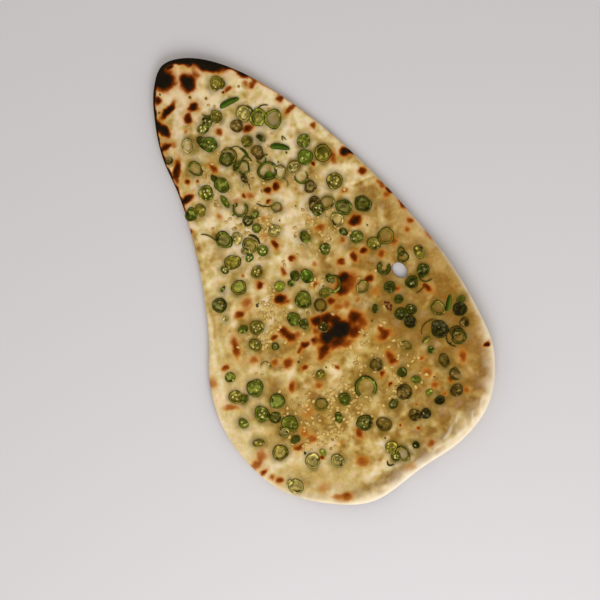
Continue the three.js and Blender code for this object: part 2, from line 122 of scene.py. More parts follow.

# ------------------------------------------------------------------ its bake, with painted highlight and shade

# Scorched spots: across, along, half sizes, how dark (1 is black), any turn in degrees.
SCORCH = [
    (-30, 197, 9, 7.5, 1.3), (-13, 187, 6, 7, 1.15), (11, 191, 12.5, 5.2, 1.3, -38),
    (-39, 172.5, 8.5, 2.8, 1, 24), (-18, 165.5, 5, 3.5, 0.95, 10), (-27, 159, 4, 4.5, 0.82),
    (-50, 158, 4, 5.5, 1.1, 15), (-53, 166, 3, 6, 1.1), (-55, 145, 5, 2.8, 0.9),
    (-48, 144, 3.5, 2.5, 0.35), (-61, 138, 2, 5, 0.6), (-56, 122, 2.8, 10, 0.88, -30),
    (-52, 110, 2.6, 2.6, 0.72), (-44, 106, 2, 1.8, 0.6), (-60, 96.5, 6.2, 3, 1, 8),
    (-27, 110, 2.5, 5, 0.58), (-30, 115, 5, 2, 0.25), (-8, 137, 3.2, 3.2, 0.55),
    (16, 127.5, 4, 3.6, 0.78), (16, 166, 3, 2.5, 0.58), (33, 171, 2.8, 5.5, 0.9, 40),
    (31, 163, 2.5, 3, 0.42), (35, 159, 3.5, 2.5, 0.56), (39, 161, 2, 2.5, 0.55),
    (52, 138.5, 3.8, 2.8, 0.7), (56, 126, 7.5, 2.2, 0.58, 15), (67, 104, 2.6, 2.6, 0.54),
    (-43, 184, 3, 3, 0.84), (-4, 189, 4, 4, 0.46), (-3, 195, 3, 5.5, 0.34, -30), (-4, 201, 4.5, 3, 1),
    (-21, 205, 4, 2, 1), (-34, 150, 2, 2, 0.38), (-41, 71, 2.8, 2.5, 0.35), (-69, 70, 2, 3, 0.55),
    (-22, 76, 3, 3, 0.3), (-14, 77, 1.8, 2, 0.66), (-9, 75, 4, 3, 0.42), (7, 72, 3.2, 3.2, 0.86),
    (15, 71.5, 3.2, 3.4, 0.86), (2.5, 63, 2.2, 2, 0.76), (67, 77, 4.8, 4, 0.68), (70, 71, 2.5, 6, 0.48),
    (81, 72, 4.2, 4, 1.1), (86, 69, 3.2, 2.6, 1.05, -40), (52, 75, 1.5, 2.2, 0.84), (29, 62, 2, 2, 0.3),
    (66, 42, 3.5, 2.6, 0.46), (88, 50, 3.8, 3, 0.72), (-7, 52, 4, 3, 0.3), (10, 52, 2, 2, 0.36),
    (-15, 39, 3, 3, 0.3), (-9, 27, 3.4, 4.4, 0.74), (33, 23, 4.8, 3.4, 0.5), (26, 34, 3, 3, 0.2),
    (62, 14.5, 6, 4, 0.9), (100, 24.5, 2, 4, 0.78, 20), (96.5, 21.5, 3, 3, 0.46),
    (96, 32, 2.4, 5, 0.48, 25), (45, 5, 3, 3, 0.45), (-1, 9.5, 3, 3, 0.7), (-13, 3, 2.5, 4, 0.52),
    (-37, 2, 3.2, 3, 0.76), (-54, -6, 5, 4, 0.42), (-46, 16, 2, 2, 0.52), (-59, 101, 2.5, 2, 0.2),
    (-64, -13, 4.2, 3, 0.66), (-56, -11, 6, 2.6, 0.27), (-27, -17, 5.6, 4, 0.92),
    (-25, -21.5, 5.5, 2.6, 0.52), (-80, -37, 3.8, 10, 0.56, -16), (-96, -48, 3, 2.6, 0.55),
    (-112, -56, 3.5, 5, 0.36), (-108, -82, 7, 2.4, 0.44, -27), (-47, -44, 3.6, 2.3, 0.65, 10),
    (-36, -45, 4.6, 6.5, 0.74, 20), (-33, -51, 4, 4, 0.75), (-27, -52, 3.5, 3, 0.48),
    (-26, -62, 5, 2.6, 0.76, 15), (-32, -65, 3, 2, 0.58, 30), (-56, -64, 3.5, 3, 0.48),
    (-46, -70, 5, 4, 0.56), (-34, -80, 3.6, 2.6, 0.62), (-52, -90, 2.6, 6, 0.55, -35),
    (-31, -99, 3.6, 4, 0.45), (-9, -92, 2, 2.6, 0.56), (-15, -102, 2.4, 2, 0.2), (-71, -54, 4.5, 4, 0.44),
    (6, -19.5, 3.2, 2, 0.5), (14, -4, 3, 3, 0.38), (8.5, -64.5, 8.5, 7, 1.25),
    (-5, -65, 7.5, 5.5, 1.12, 15), (7.5, -55.5, 5, 4.5, 0.86), (2, -50, 5.5, 4.5, 0.88, -20),
    (-7, -48, 5, 4, 0.9, 20), (24.5, -60, 5.5, 5, 0.8), (28, -67, 5, 6.5, 0.52), (18, -71, 7, 5.5, 0.7),
    (21, -63, 5, 4, 0.6), (1, -73, 8, 4.5, 0.78), (-17, -77, 4.8, 3.8, 0.64, 35),
    (-11.5, -73, 5.5, 4.4, 0.8, 20), (8, -78, 7, 3, 0.5), (3, -64, 15, 10, 0.56, 10),
    (-16, -63, 4, 4, 0.55), (-12, -56, 3.5, 3.5, 0.5), (15, -46, 4, 3, 0.42), (12, -39, 4.4, 3, 0.68),
    (31, -25, 5, 5, 0.88), (24, -35, 5.4, 4, 0.8), (30, -31, 9.5, 8, 0.6), (37, -27, 6, 5, 0.38),
    (35, -12.5, 3.6, 3.6, 0.65), (47, -13, 3.6, 4, 0.7), (57, -12, 3.6, 3.2, 0.82),
    (69.5, -21.5, 3.2, 3, 0.52), (84, -17, 3, 4, 0.5), (75, -11, 1.4, 1.4, 0.34), (99, -13, 2.2, 3, 0.5),
    (105, -8, 3.4, 2.6, 0.54), (105, 8, 2, 5.5, 0.6, 20), (113, -26, 2.5, 7, 0.32),
    (51, -36, 3.8, 3.2, 0.76), (50, -48, 4, 4, 0.28), (33, -48, 2.4, 2, 0.36), (22, -47, 4, 4, 0.41),
    (68, -55, 2.6, 3, 0.52), (91.5, -66.5, 2.6, 5, 0.68, 35), (40, -86, 6.4, 4.2, 0.67),
    (40, -81, 3, 4, 0.55), (36, -104, 4.2, 5.4, 0.6), (37, -110, 4, 3, 0.62), (23, -115, 2.4, 2.4, 0.7),
    (-102, -131, 5.5, 5, 0.38, 40), (-109, -135.5, 8, 4, 0.46, 18), (-107, -144, 3.4, 2, 0.6, 10),
    (-98, -156, 3.2, 2.6, 0.58), (-103, -152, 3, 2.5, 0.46), (-70, -139, 5, 2.4, 0.62),
    (-57, -138, 5, 4, 0.46), (-60, -130, 4, 4, 0.4), (-18, -152, 3.5, 5, 0.55), (-27, -175, 5, 4.4, 0.46),
    (-67, -180, 6, 4, 0.26), (-53, -195, 5.4, 3.6, 0.48, -20), (-60, -192, 5, 2.4, 0.36, -20),
    (-50, -116, 6, 5, 0.26), (-57, -156, 1.8, 1.6, 0.7), (-35, -152, 1.6, 1.6, 0.35),
    (59, -132, 4, 4, 0.42), (59, -144, 4, 2.4, 0.45, -15), (92, -133, 3.2, 5.6, 0.5, -20),
    (114, -132, 3.2, 2, 0.95), (60, -119, 2.4, 2, 0.52), (82, -160, 3, 3, 0.4),
    (63, -155, 2.4, 1.6, 0.42), (34, -187, 4, 3, 0.46), (17, -162, 1.5, 1.4, 0.8),
    (25, -127, 2, 1.4, 0.78), (29, -172, 1.8, 1.6, 0.55), (37, -153, 1.6, 1.6, 0.5), (8, -197, 5, 3, 0.2),
    (73, -146, 2.6, 3, 0.52), (-17, 175, 1.2, 1.4, 0.6), (-5, 168, 1.3, 1.5, 0.3), (11, 165.5, 1, 1, 1.1),
]
SCORCH_WANDER = [(1.1, 4.5, 11), (0.5, 2, 12)], [(1.1, 4.5, 13), (0.5, 2, 14)]
SPOT_FALLOFF = 0.75
TOASTED_SHARE, TOASTED_AT_MOST, TOASTED_REACH = 0.32, 0.8, 1.65  # faint browning round each spot

# The charred edge: direction from the centre in degrees, how far in it reaches, how dark.
CHARRED_EDGE = [
    (-180, 0.5, 0), (40, 0.6, 0), (52, 0.8, 0.1), (66, 0.9, 0.2), (76, 1, 0.3), (82, 1.4, 0.7),
    (85, 3, 1.1), (88, 5.5, 1.2), (91, 4.4, 1.15), (95, 4, 1.15), (98.5, 4, 1.15), (101, 2, 1.1),
    (104, 1.4, 1.1), (107, 1.4, 1.05), (112, 1.4, 1), (117, 1.2, 0.8), (121, 1, 0.4), (128, 0.8, 0.15),
    (150, 0.6, 0), (180, 0.5, 0),
]
CHARRED_WANDER = [(0.9, 3.5, 15), (0.5, 9, 16)]
CHARRED_FULL, CHARRED_NONE, CHARRED_BLUR = 0.6, 1.4, 0.4

# The painted highlight along the rim, where the lip catches the light: direction from the centre in
# degrees, how pale, how far in it reaches.
EDGE_HIGHLIGHT = [
    (-180, 0.1, 2), (-135, 0.3, 4), (-112, 0.7, 6), (-95, 0.95, 8), (-75, 0.9, 8), (-60, 0.85, 7),
    (-45, 0.85, 6), (-32, 0.7, 3), (0, 0.45, 2.4), (30, 0.25, 2), (60, 0.1, 1), (150, 0.1, 1),
    (180, 0.1, 2),
]
EDGE_HIGHLIGHT_WANDER = [(0.4, 7, 59)]
EDGE_HIGHLIGHT_FROM, EDGE_HIGHLIGHT_CURVE, EDGE_HIGHLIGHT_FADE = 0.4, 1.3, 1.6
# The fold ridges of the lower right get a painted highlight too: how much, from which fold heights, along
# which span.
FOLD_HIGHLIGHT, FOLD_HIGHLIGHT_HEIGHTS, FOLD_HIGHLIGHT_ALONG = 0.5, (0.25, 0.9), (-160, -175)

# Where the bread is browner (above 0) or paler: across, along, half sizes, how much. Besides the bread's
# own browning, some ovals are painted shade: the band just inside the lower rim's lip, the brown beside the
# lower-right fold ridges, and part of the brown over the right side and lower right, which curl up away
# from the light.
TONE_AND_SHADE = [
    (75, -62, 52, 100, 0.41), (46, -140, 40, 24, -0.22), (72, -160, 32, 16, 0.32),
    (-25, 180, 20, 14, -0.25), (-60, -120, 24, 18, 0.35), (-24, -74, 18, 12, 0.16),
    (-48, -50, 32, 28, 0.15), (22, -4, 28, 22, 0.12), (-24, -143, 18, 14, -0.2),
    (0, 150, 85, 95, -0.22), (8, 40, 20, 28, -0.2), (-75, 50, 20, 62, -0.06),
    (-106, -84, 24, 72, -0.24), (-90, -28, 17, 26, -0.1), (-92, -150, 26, 22, -0.2),
    (-22, -184, 56, 14, -0.26), (5, -94, 26, 10, -0.44), (-83, -52, 10, 9, -0.14),
    (-64, -88, 12, 12, 0.26), (-68, -62, 13, 5, -0.35), (-12, -197, 70, 6, 0.45),
    (48, -174, 18, 8, 0.36), (-14, 114, 24, 22, 0.14), (-38, 60, 18, 40, -0.3), (34, 38, 16, 14, -0.2),
    (22, -170, 20, 12, 0.26), (18, -128, 16, 14, 0.18), (32, -100, 18, 16, 0.12),
    (24, 151, 20, 14, 0.32), (-79, -43, 14, 12, 0.12), (-30, 37, 18, 16, -0.38),
    (-22, 68, 16, 16, -0.22), (-40, -30, 14, 12, -0.22), (19, 11, 15, 15, -0.12),
    (-54, -156, 24, 18, -0.28), (60, -115, 16, 14, -0.12), (-80, -113, 14, 12, -0.12),
    (59, -185, 16, 10, -0.14), (104, -32, 12, 16, -0.08), (-12, -44, 12, 10, 0.35),
    (-80, 8, 12, 22, 0.16), (70, 36, 14, 12, -0.18), (61, -78, 14, 12, 0.16), (80, -180, 12, 9, 0.2),
    (5, -120, 125, 75, 0.3), (42, -58, 22, 16, 0.16), (104, -120, 14, 60, 0.26),
]
MEAN_TONE = 0.395
BROAD_TONE = [(0.12, 26, 53)]
FINE_TONE = [(0.26, 11, 54), (0.32, 5.5, 55), (0.18, 2.9, 56)]
DEEPENED, DEEPENED_TONES = 0.09, (0.32, 0.65)
PALER_FOLDS, PALER_FOLDS_ALONG = 0.3, (-110, -60)
RUDDY_ACROSS, RUDDY_ALONG = (20, 95), (70, -10)

# Where the mottling is calmer, and by how much: near the right rim, near the slanting left rim, and on
# the ruddy side as far as the right rim's own calm begins.
CALM_RIGHT, CALM_RIGHT_BY = (82, 100), 0.7
CALM_LEFT, CALM_LEFT_BY, LEFT_SLANT = (-70, -95), 0.6, 0.25
CALM_RUDDY_BY = 0.35
LEAST_MOTTLED = 0.25

UNDERSIDE_TONE = 0.25
LEOPARD = [(1, 13, 51), (0.3, 4, 52)]
LEOPARD_DARKNESS, LEOPARD_EDGE = 0.62, (0.1, 0.75)

# Where the halo round the slices, juice stain and painted contact shade, is stronger or weaker: middle,
# half sizes and how much more.
JUICE_AND_SHADE = [
    (-95, -175, 30, 30, -0.42), (-60, -188, 26, 20, -0.3), (-60, 58, 26, 46, -0.3),
    (-30, 38, 20, 26, -0.26), (-24, -6, 20, 18, -0.26), (-96, -58, 12, 12, -0.35),
    (-94, -84, 12, 14, 0.5), (-25, -91, 12, 12, -0.35), (-18, -46, 12, 10, 0.3), (24, 81, 12, 12, 0.32),
    (50, 83, 16, 16, 0.4), (-3, 101, 14, 8, 0.25), (28, 4, 12, 12, -0.3), (2, -38, 12, 12, 0.4),
    (82, -56, 12, 10, 0.25), (22, -106, 14, 12, 0.3), (-30, 101, 12, 10, -0.35),
    (-70, -130, 14, 12, 0.35), (8, -184, 14, 12, 0.3), (50, -148, 14, 12, -0.25),
]
MEAN_JUICE_AND_SHADE, LEAST_JUICE_AND_SHADE = 0.56, 0.02
JUICE_AND_SHADE_SPREAD = [(0.34, 7, 60)]
JUICE_AND_SHADE_WANDER = [(1.6, 5, 57), (0.8, 2.4, 58)]
# The halo of juice stain and painted contact shade round each slice reaches this far.
HALO = (-1, 6)  # from a slice's edge, outwards

# How much darker the bread inside a ring is, for each flesh.
RING_DARKENING = {"b": 0.95, "d": 0.9, "l": 0.8, "o": 0.55, "g": 0.35, "p": 0.12}
RING_INSIDE, RING_STEADY, RING_VARIES = (-3, 0), 0.7, 0.6
CURL_INSIDE, CURL_CLEARER = (-4.5, -1), 0.6

# Soft ovals fade between these shares of the way to their outline.
BLOB_EDGE, DRIFT_EDGE = (0.25, 1.3), (0.5, 1.25)

# ------------------------------------------------------------------- toppings

# How each slice looks: its flesh (f fresh, g green, l lime, o olive, p pale, b brown, d dark, k black,
# y yellow, r red) and its middle (s seeds, m membrane, w thin see-through skin, h open to the bread,
# n solid, x dark, c lime core, t thick and open), how narrow it is for its length, and which way it is
# long, in degrees.
DISC_LOOKS = [
    ("om", 0.8, 60), ("ps", 0.85, 80), ("bs", 0.95, 110), ("fs", 0.9, 60), ("dm", 0.95, 0),
    ("gm", 0.95, 45), ("on", 0.9, 60), ("fs", 1, 0), ("ps", 0.78, 0), ("os", 0.95, 20),
    ("gn", 0.85, 100), ("ls", 0.92, 90), ("bx", 0.78, 90), ("gw", 0.88, 140), ("dm", 0.85, 120),
    ("gw", 0.85, 100), ("ow", 0.88, 110), ("om", 0.82, 160), ("os", 0.78, 30), ("oc", 0.95, 0),
    ("ds", 1, 0), ("gm", 0.9, 70), ("dx", 0.85, 45), ("dx", 0.9, 30), ("kx", 1, 0), ("kx", 0.9, 100),
    ("bm", 0.86, 80), ("bm", 0.86, 20), ("bm", 0.95, 90), ("bm", 1, 0), ("ds", 0.95, 0),
    ("bm", 0.82, 130), ("gc", 0.95, 0), ("gm", 0.95, 30), ("os", 1, 0), ("os", 0.85, 120),
    ("os", 0.95, 0), ("gn", 0.95, 100), ("gs", 0.9, 90), ("gm", 0.85, 120), ("ow", 0.95, 0),
    ("pw", 0.95, 45), ("pm", 0.9, 100), ("pw", 0.9, 130),
]
RING_LOOKS = [
    ("lh", 0.86, 60), ("gh", 0.76, 105), ("gh", 0.85, 60), ("gh", 0.92, 0), ("oh", 0.92, 30),
    ("bh", 0.9, 90), ("oh", 0.85, 100), ("dh", 0.9, 60), ("oh", 0.8, 110),
]
ARC_LOOKS = ["gh", "dt", "gh", "gh"]
ARC_GAP = 1.5

# Broken rings: across, along, length, which way they gape in degrees.
ARCS = [(-22, 68, 13, 63), (66, -34, 12, 52), (5, -119, 19, -110), (20, -26, 15, 150)]

# Pieces lying on their side: across, along, length, direction in degrees.
STRIPS = [(11.5, 155.5, 19, -2), (33.5, 101, 18, -35)]

# Small slices: across, along, length, look, how narrow, which way long.
SMALL_SLICES = [
    (-4, 149.5, 11, "om", 0.85, 100), (-13, 149, 10, "gs", 0.9, 60), (-19, 145, 10.5, "gs", 0.75, 0),
    (-25, 134, 14, "dn", 0.55, 100), (-38, 138, 13, "ph", 0.7, 70), (28, 132, 14, "lw", 0.75, 70),
    (10, 118, 10, "on", 0.95, 0), (22, 115, 9, "dn", 0.5, 120), (14, 106, 11, "bs", 0.9, 90),
    (23, 81, 12, "ph", 0.8, 60), (-31, 80, 12, "gn", 0.42, 95), (-62, 83, 12, "gn", 0.85, 45),
    (-53, 83, 11, "om", 0.78, 80), (-21, 56, 9, "ds", 1, 0), (-17, 47, 8, "gm", 1, 0),
    (-4, 38, 10, "ps", 1, 0), (7, 55, 9, "oh", 0.9, 0), (41, 58, 11, "bw", 0.9, 40),
    (48, 39, 12, "oh", 0.9, 0), (49, 22, 12, "ph", 0.85, 100), (38, 37, 11, "gs", 0.9, 0),
    (17, 21, 11, "gm", 0.75, 90), (28, 4, 10, "gm", 0.9, 60), (49, 10, 8, "dn", 0.7, 120),
    (57, 1, 11, "gm", 0.95, 0), (68, -11, 12, "om", 0.85, 130), (-36, 47, 11, "ps", 0.75, 80),
    (-21, 27, 9, "fs", 1, 0), (-34, 27, 8, "fs", 0.8, 30), (-58, 27, 7.5, "gs", 0.8, 120),
    (-6, -5, 9, "dn", 0.9, 90), (3, -10, 12, "fn", 0.85, 90), (-22, -7, 9, "ln", 0.95, 0),
    (-12, -9, 6, "gn", 1, 0), (42, -40, 12, "oh", 0.8, 30), (85, -33, 10, "dh", 0.9, 0),
    (85.5, -28, 8, "dh", 0.8, 60), (99, -35, 11.5, "ym", 0.72, 80), (63, -51, 10, "dx", 1, 0),
    (65, -64, 8, "dn", 0.9, 0), (61, -76, 10.5, "dx", 1, 0), (70, -77, 10, "dx", 0.95, 0),
    (65, -86, 10.5, "kx", 1, 0), (106, -107, 8.5, "bx", 0.9, 60), (76, -129, 12, "bm", 0.72, 80),
    (53, -103, 10, "oh", 0.6, 120), (39, -122, 8.5, "dn", 0.95, 0), (47, -133, 8, "gn", 0.8, 150),
    (20, -143, 9.5, "dm", 0.75, 30), (57, -158, 9, "kx", 0.8, 0), (32, -160, 11, "bx", 0.9, 140),
    (41, -163, 9, "kx", 0.95, 45), (1, -175, 10.5, "ym", 0.9, 0), (-28, -132, 9, "gn", 0.7, 80),
    (-16, -120, 11, "gn", 0.9, 90), (-36, -115, 11, "oh", 0.95, 0), (-94, -80, 8, "gn", 0.75, 0),
    (-96, -58, 9, "lc", 0.95, 0), (-67, -26, 9, "gn", 0.7, 0), (-18, -46, 8.5, "dn", 0.9, 90),
    (-4, -56, 9.5, "bx", 1, 0), (-77, -107, 10, "dm", 0.95, 0), (-104, -99, 9.5, "gm", 0.8, 100),
    (-100, -120, 10, "om", 0.6, -20), (-70, -132, 9, "dn", 0.65, 10), (-30, 101, 10, "dn", 0.5, 100),
    (-13, 58, 8, "gm", 0.7, 20), (-67, 13, 6, "gn", 0.5, 30), (-77, -11, 4, "pn", 0.9, 0),
    (43, -62, 8, "dn", 0.6, 60), (112, -88, 7.5, "gn", 0.8, 0), (70, -106, 8, "on", 0.4, 10),
    (70, -116, 6, "gx", 1, 0), (52, -148, 6, "ln", 0.8, 0), (21, -183, 6, "dx", 1, 0),
    (1, -184, 8, "gs", 1, 0), (-25, -91, 8, "om", 0.85, 0), (-49, -52, 6.5, "dm", 1, 0),
    (-54, -153, 7, "ln", 0.6, 100), (-58, 133, 6.5, "bm", 0.9, 0), (96, -111, 10.5, "bx", 0.9, 0),
    (13, 83, 8, "fn", 0.8, 20), (-7, 90, 8, "bm", 0.65, 100), (-8, 103, 9, "dn", 0.6, 30),
    (-91, -162, 6, "pn", 0.6, 0), (-34, 34, 8, "pw", 0.8, 0), (20, -21, 9, "dm", 0.7, 110),
    (10.5, -30, 10, "on", 0.8, 0), (12.5, 172.5, 8.5, "om", 0.8, 60), (-76, -122, 9, "pw", 0.9, 0),
]

# Curls of skin cut off the slices: ends and middle of the bend, half width, look.
PEELS = [
    (-15, 157, -11, 153.5, -7, 152.5, 0.5, "o"), (-9, 119, 0, 118, 3, 111, 0.5, "o"),
    (1, 116, 4, 111, 4, 104, 1.3, "g"), (-63, 64, -57, 60, -53, 52, 0.6, "g"),
    (-8, 67, -2, 60.5, 5, 58, 0.6, "b"), (69, -101, 74, -94, 85, -93, 0.6, "o"),
    (89, -53, 91, -60, 99, -61, 0.6, "g"), (80, -66, 87, -65, 91, -61, 0.4, "b"),
    (97, -92, 101, -87, 106, -80, 2.2, "f"), (-76, -115, -79, -121, -74, -126, 0.6, "p"),
    (-7, -184, -8, -188, -3, -189.5, 0.8, "d"), (88, -110, 86, -117, 91, -123, 0.6, "d"),
    (23, 146, 26, 141, 24, 137, 0.8, "g"), (-3, 104, 3, 107, 6, 100, 0.8, "g"),
    (21, 76, 25, 72, 23, 66, 0.6, "p"), (-26, 45, -21, 40, -21, 33, 1.1, "d"),
    (-46, 43, -42, 45, -40, 51, 0.8, "d"), (-6, 86, -6, 82, -7, 79, 0.4, "b"),
    (-27, 75, -24, 72, -22, 75, 0.6, "d"), (30, 136, 34, 140, 41, 137, 0.6, "d"),
    (10, 103, 13, 99, 20, 102, 0.5, "d"), (38, 104, 39, 108, 41, 103, 0.5, "g"),
]

# Open rings of skin: across, along, length, look, which way they gape in degrees, how widely in radians.
CURLS = [
    (38, 69, 12, "gh", 85, 2.2), (28, 132, 15, "lh", -60, 0.9), (96, -117, 11, "oh", -90, 1.6),
    (-64.5, -64, 9, "ph", -117, 2.6), (-10, 114, 14, "oh", 200, 2.4), (14, 99, 9, "gh", 90, 3),
]

# Crumbs of chilli and loose chilli seed: across, along, length, look.
FLECKS = [
    (53, -64.5, 3.2, "r"), (55.5, -62.5, 3.2, "r"), (53.5, -61, 3, "r"), (56.5, -66, 3.4, "r"),
    (55, -68.5, 3.2, "r"), (53, -67, 2.6, "r"), (-17, 175, 2.4, "g"), (-5, 167.5, 2.6, "o"),
    (-47, 174, 2.6, "o"), (-39, 188, 2.4, "o"), (11, 165, 1.6, "k"), (-47, -13, 3.6, "b"),
    (-17, -62, 3, "k"), (-68, -146, 3, "k"), (-30, 67, 3, "f"), (-74, -122.5, 2.4, "k"),
    (4, 44, 2.2, "o"), (22, 49, 2, "o"), (36, -70, 2, "d"), (-37, -73, 2.6, "d"), (12, -24, 2.2, "o"),
    (-2, -146, 2, "d"), (62, -138, 2, "b"), (24, -127, 2, "b"), (88, -118, 2, "b"), (36, 94, 2.6, "g"),
    (20, 100, 2.4, "g"), (70, 6, 2.2, "g"), (-45, -12, 2, "o"), (-89, -141, 2.6, "d"),
    (0, -166, 2, "d"), (-18, -88, 2.2, "o"), (26, 90, 2.4, "l"),
]

# Drifts of sesame: across, along, half sizes, how many.
DRIFTS = [
    (-15, 52, 18, 20, 50), (-37, -35, 28, 26, 80), (30, 24, 26, 22, 50), (-48, -130, 26, 24, 90),
    (-2, -122, 36, 22, 100), (24, -88, 26, 24, 40), (44, -120, 20, 22, 30), (-20, 100, 36, 36, 46),
    (-10, -10, 90, 130, 110), (0, 130, 45, 50, 26),
]
WIDE_DRIFTS = 8  # the drifts before these two also grease the bread
HUDDLED_SHARE, HUDDLE_SEEDS, HUDDLE_SPREAD, HUDDLES_WITHIN = 0.5, 14, 4, 0.75
SESAME_SIZE, SESAME_SIZES, SESAME_TILT, SESAME_SUNK = (3.7, 2.7, 1.2), (0.85, 1.1), 0.15, 0.12
SESAME_SHADES, SESAME_SHADE_SHARES = [0.5, 0.8, 0.95, 1.1], [0.06, 0.34, 0.3, 0.3]
SESAME_YELLOWS = (0.8, 1, 1.4)  # a dark seed is a yellower one
FAR_IN = 99  # beyond the reach of the charred edge
SESAME_FROM_RIM, SESAME_FROM_HOLE, SESAME_UP_TO_SCORCH, SESAME_OVER_SLICES = 9, 10, 0.45, 0.85


# ---------------------------------------------------------------- small tools

LATTICE_PRIMES = (374761393, 668265263, 974634777)
LATTICE_SCRAMBLER = 1274126177
LATTICE_BITS, DRAWN_BITS = 0xFFFFFFFF, 0xFFFF
NOISE_TURN = 0.7  # radians, so that no lattice lies along the axes


def smoothstep(low, high, value):
    t = np.clip((value - low) / (high - low), 0, 1)
    return t * t * (3 - 2 * t)


def fade(edge, value):
    """1 up to the first value of the edge, 0 from the second on."""
    return 1 - smoothstep(*edge, value)


def lattice(i, j, seed):
    """A draw from -1 to 1 for each whole-number place."""
    by_i, by_j, by_seed = LATTICE_PRIMES
    h = (i * by_i + j * by_j + seed * by_seed) & LATTICE_BITS
    h = ((h ^ (h >> 13)) * LATTICE_SCRAMBLER) & LATTICE_BITS
    return ((h ^ (h >> 16)) & DRAWN_BITS) / (DRAWN_BITS / 2) - 1


def noise(x, y, size, seed):
    """Smooth unevenness from -1 to 1, its bumps about this many millimetres across."""
    turn = NOISE_TURN + seed
    u = (x * math.cos(turn) + y * math.sin(turn)) / size
    v = (y * math.cos(turn) - x * math.sin(turn)) / size
    i = np.floor(u).astype(np.int64)
    j = np.floor(v).astype(np.int64)
    s, t = smoothstep(0, 1, u - i), smoothstep(0, 1, v - j)
    low = lattice(i, j, seed) * (1 - s) + lattice(i + 1, j, seed) * s
    high = lattice(i, j + 1, seed) * (1 - s) + lattice(i + 1, j + 1, seed) * s
    return low * (1 - t) + high * t


def uneven(x, y, layers):
    return sum(amount * noise(x, y, size, seed) for amount, size, seed in layers)


def wandered(x, y, wander):
    """Points shifted a little each way, so that a plain outline drawn at them comes out ragged."""
    across, along = wander
    return x + uneven(x, y, across), y + uneven(x, y, along)


def stops(table, column, x, y):
    """A value given round the rim, eased between the directions where it is stated."""
    angle = np.degrees(np.arctan2(y - CENTRE[1], x - CENTRE[0]))
    at, value = np.array(table, float)[:, [0, column]].T
    after = np.clip(np.searchsorted(at, angle), 1, len(at) - 1)
    share = smoothstep(at[after - 1], at[after], angle)
    return value[after - 1] * (1 - share) + value[after] * share


def in_oval(x, y, cx, cy, half_x, half_y, turn=0.0):
    """How far out each point lies in a turned oval: 0 in its middle, 1 on its outline."""
    c, s = math.cos(math.radians(turn)), math.sin(math.radians(turn))
    u = ((x - cx) * c + (y - cy) * s) / half_x
    v = ((y - cy) * c - (x - cx) * s) / half_y
    return np.hypot(u, v)


def blobs(table, x, y):
    """The sum of a table's soft-edged ovals."""
    return sum(amount * fade(BLOB_EDGE, in_oval(x, y, *oval)) for *oval, amount in table)


def placed(cx, cy, turn, u, v):
    """Where local places come to lie when they are turned, in radians, about a middle."""
    c, s = math.cos(turn), math.sin(turn)
    return cx + u * c - v * s, cy + u * s + v * c


def around(spokes):
    return np.linspace(0, 2 * math.pi, spokes, endpoint=False)


def beyond(x, y, cx, cy, diameter):
    """How far outside a round slice each point lies; below 0 inside it."""
    return np.hypot(x - cx, y - cy) - diameter / 2


def srgb(red, green, blue):
    """An sRGB colour of 0 to 255 as linear RGBA."""
    shares = [c / 255 for c in (red, green, blue)]
    return (*(((c + 0.055) / 1.055) ** 2.4 if c > 0.04045 else c / 12.92 for c in shares), 1.0)


def grey(value):
    return (value, value, value, 1.0)


# --------------------------------------------------------- the bread's surface

def rim_points(step):
    """The rim as a closed run of points about this far apart."""
    knots = np.array(OUTLINE, float)
    before, after, beyond_after = (np.roll(knots, shift, 0) for shift in (1, -1, -2))
    t = np.linspace(0, 1, SPAN_SAMPLES, endpoint=False)[None, :, None]
    a, b = knots[:, None], after[:, None]
    leaving, arriving = ((after - before) / 2)[:, None], ((beyond_after - knots) / 2)[:, None]
    curve = (
        (2 * t**3 - 3 * t**2 + 1) * a + (t**3 - 2 * t**2 + t) * leaving
        + (3 * t**2 - 2 * t**3) * b + (t**3 - t**2) * arriving
    ).reshape(-1, 2)
    closed = np.vstack([curve, curve[:1]])
    along = np.concatenate([[0], np.cumsum(np.linalg.norm(np.diff(closed, axis=0), axis=1))])
    at = np.linspace(0, along[-1], round(along[-1] / step), endpoint=False)
    return np.stack([np.interp(at, along, closed[:, k]) for k in (0, 1)], 1)


MEASURED_RIM = rim_points(MEASURED_RIM_STEP)
POINTS_AT_ONCE = 4000


def from_rim(x, y):
    """How far in from the rim each point is."""
    a = MEASURED_RIM
    d = np.roll(a, -1, 0) - a
    length2 = (d**2).sum(1)
    inward = np.empty(len(x))
    for start in range(0, len(x), POINTS_AT_ONCE):
        part = slice(start, start + POINTS_AT_ONCE)
        px, py = x[part, None] - a[:, 0], y[part, None] - a[:, 1]
        t = np.clip((px * d[:, 0] + py * d[:, 1]) / length2, 0, 1)
        inward[part] = np.sqrt(((px - t * d[:, 0]) ** 2 + (py - t * d[:, 1]) ** 2).min(1))
    return inward


def inside_rim(x, y):
    """True for points within the outline, by counting crossings."""
    crossings = np.zeros(len(x), int)
    for (ax, ay), (bx, by) in zip(MEASURED_RIM, np.roll(MEASURED_RIM, -1, 0)):
        spans = (ay > y) != (by > y)
        at = ax + (y - ay) * (bx - ax) / ((by - ay) if by != ay else 1)
        crossings += spans & (x < at)
    return crossings % 2 == 1


def from_hole(x, y):
    return np.hypot(x - HOLE[0], y - HOLE[1])


def thickness_at(x, y, inward):
    body = MIDDLE_THICKNESS + (TIP_THICKNESS - MIDDLE_THICKNESS) * smoothstep(TIP_FROM, TIP_TO, y)
    lip = stops(RIM, 3, x, y) * np.exp(-(((inward - LIP_IN) / LIP_WIDTH) ** 2))
    whole = smoothstep(HOLE_HALF_WIDTH, HOLE_THINNED_TO, from_hole(x, y))
    return HOLE_EDGE_THICKNESS + (body + lip - HOLE_EDGE_THICKNESS) * whole


def lift_at(x, y, inward):
    return stops(RIM, 1, x, y) * np.maximum(0, 1 - inward / stops(RIM, 2, x, y)) ** 2


def fullness(inward):
    return np.sqrt(1 - (1 - np.minimum(inward / NOSE, 1)) ** 2)


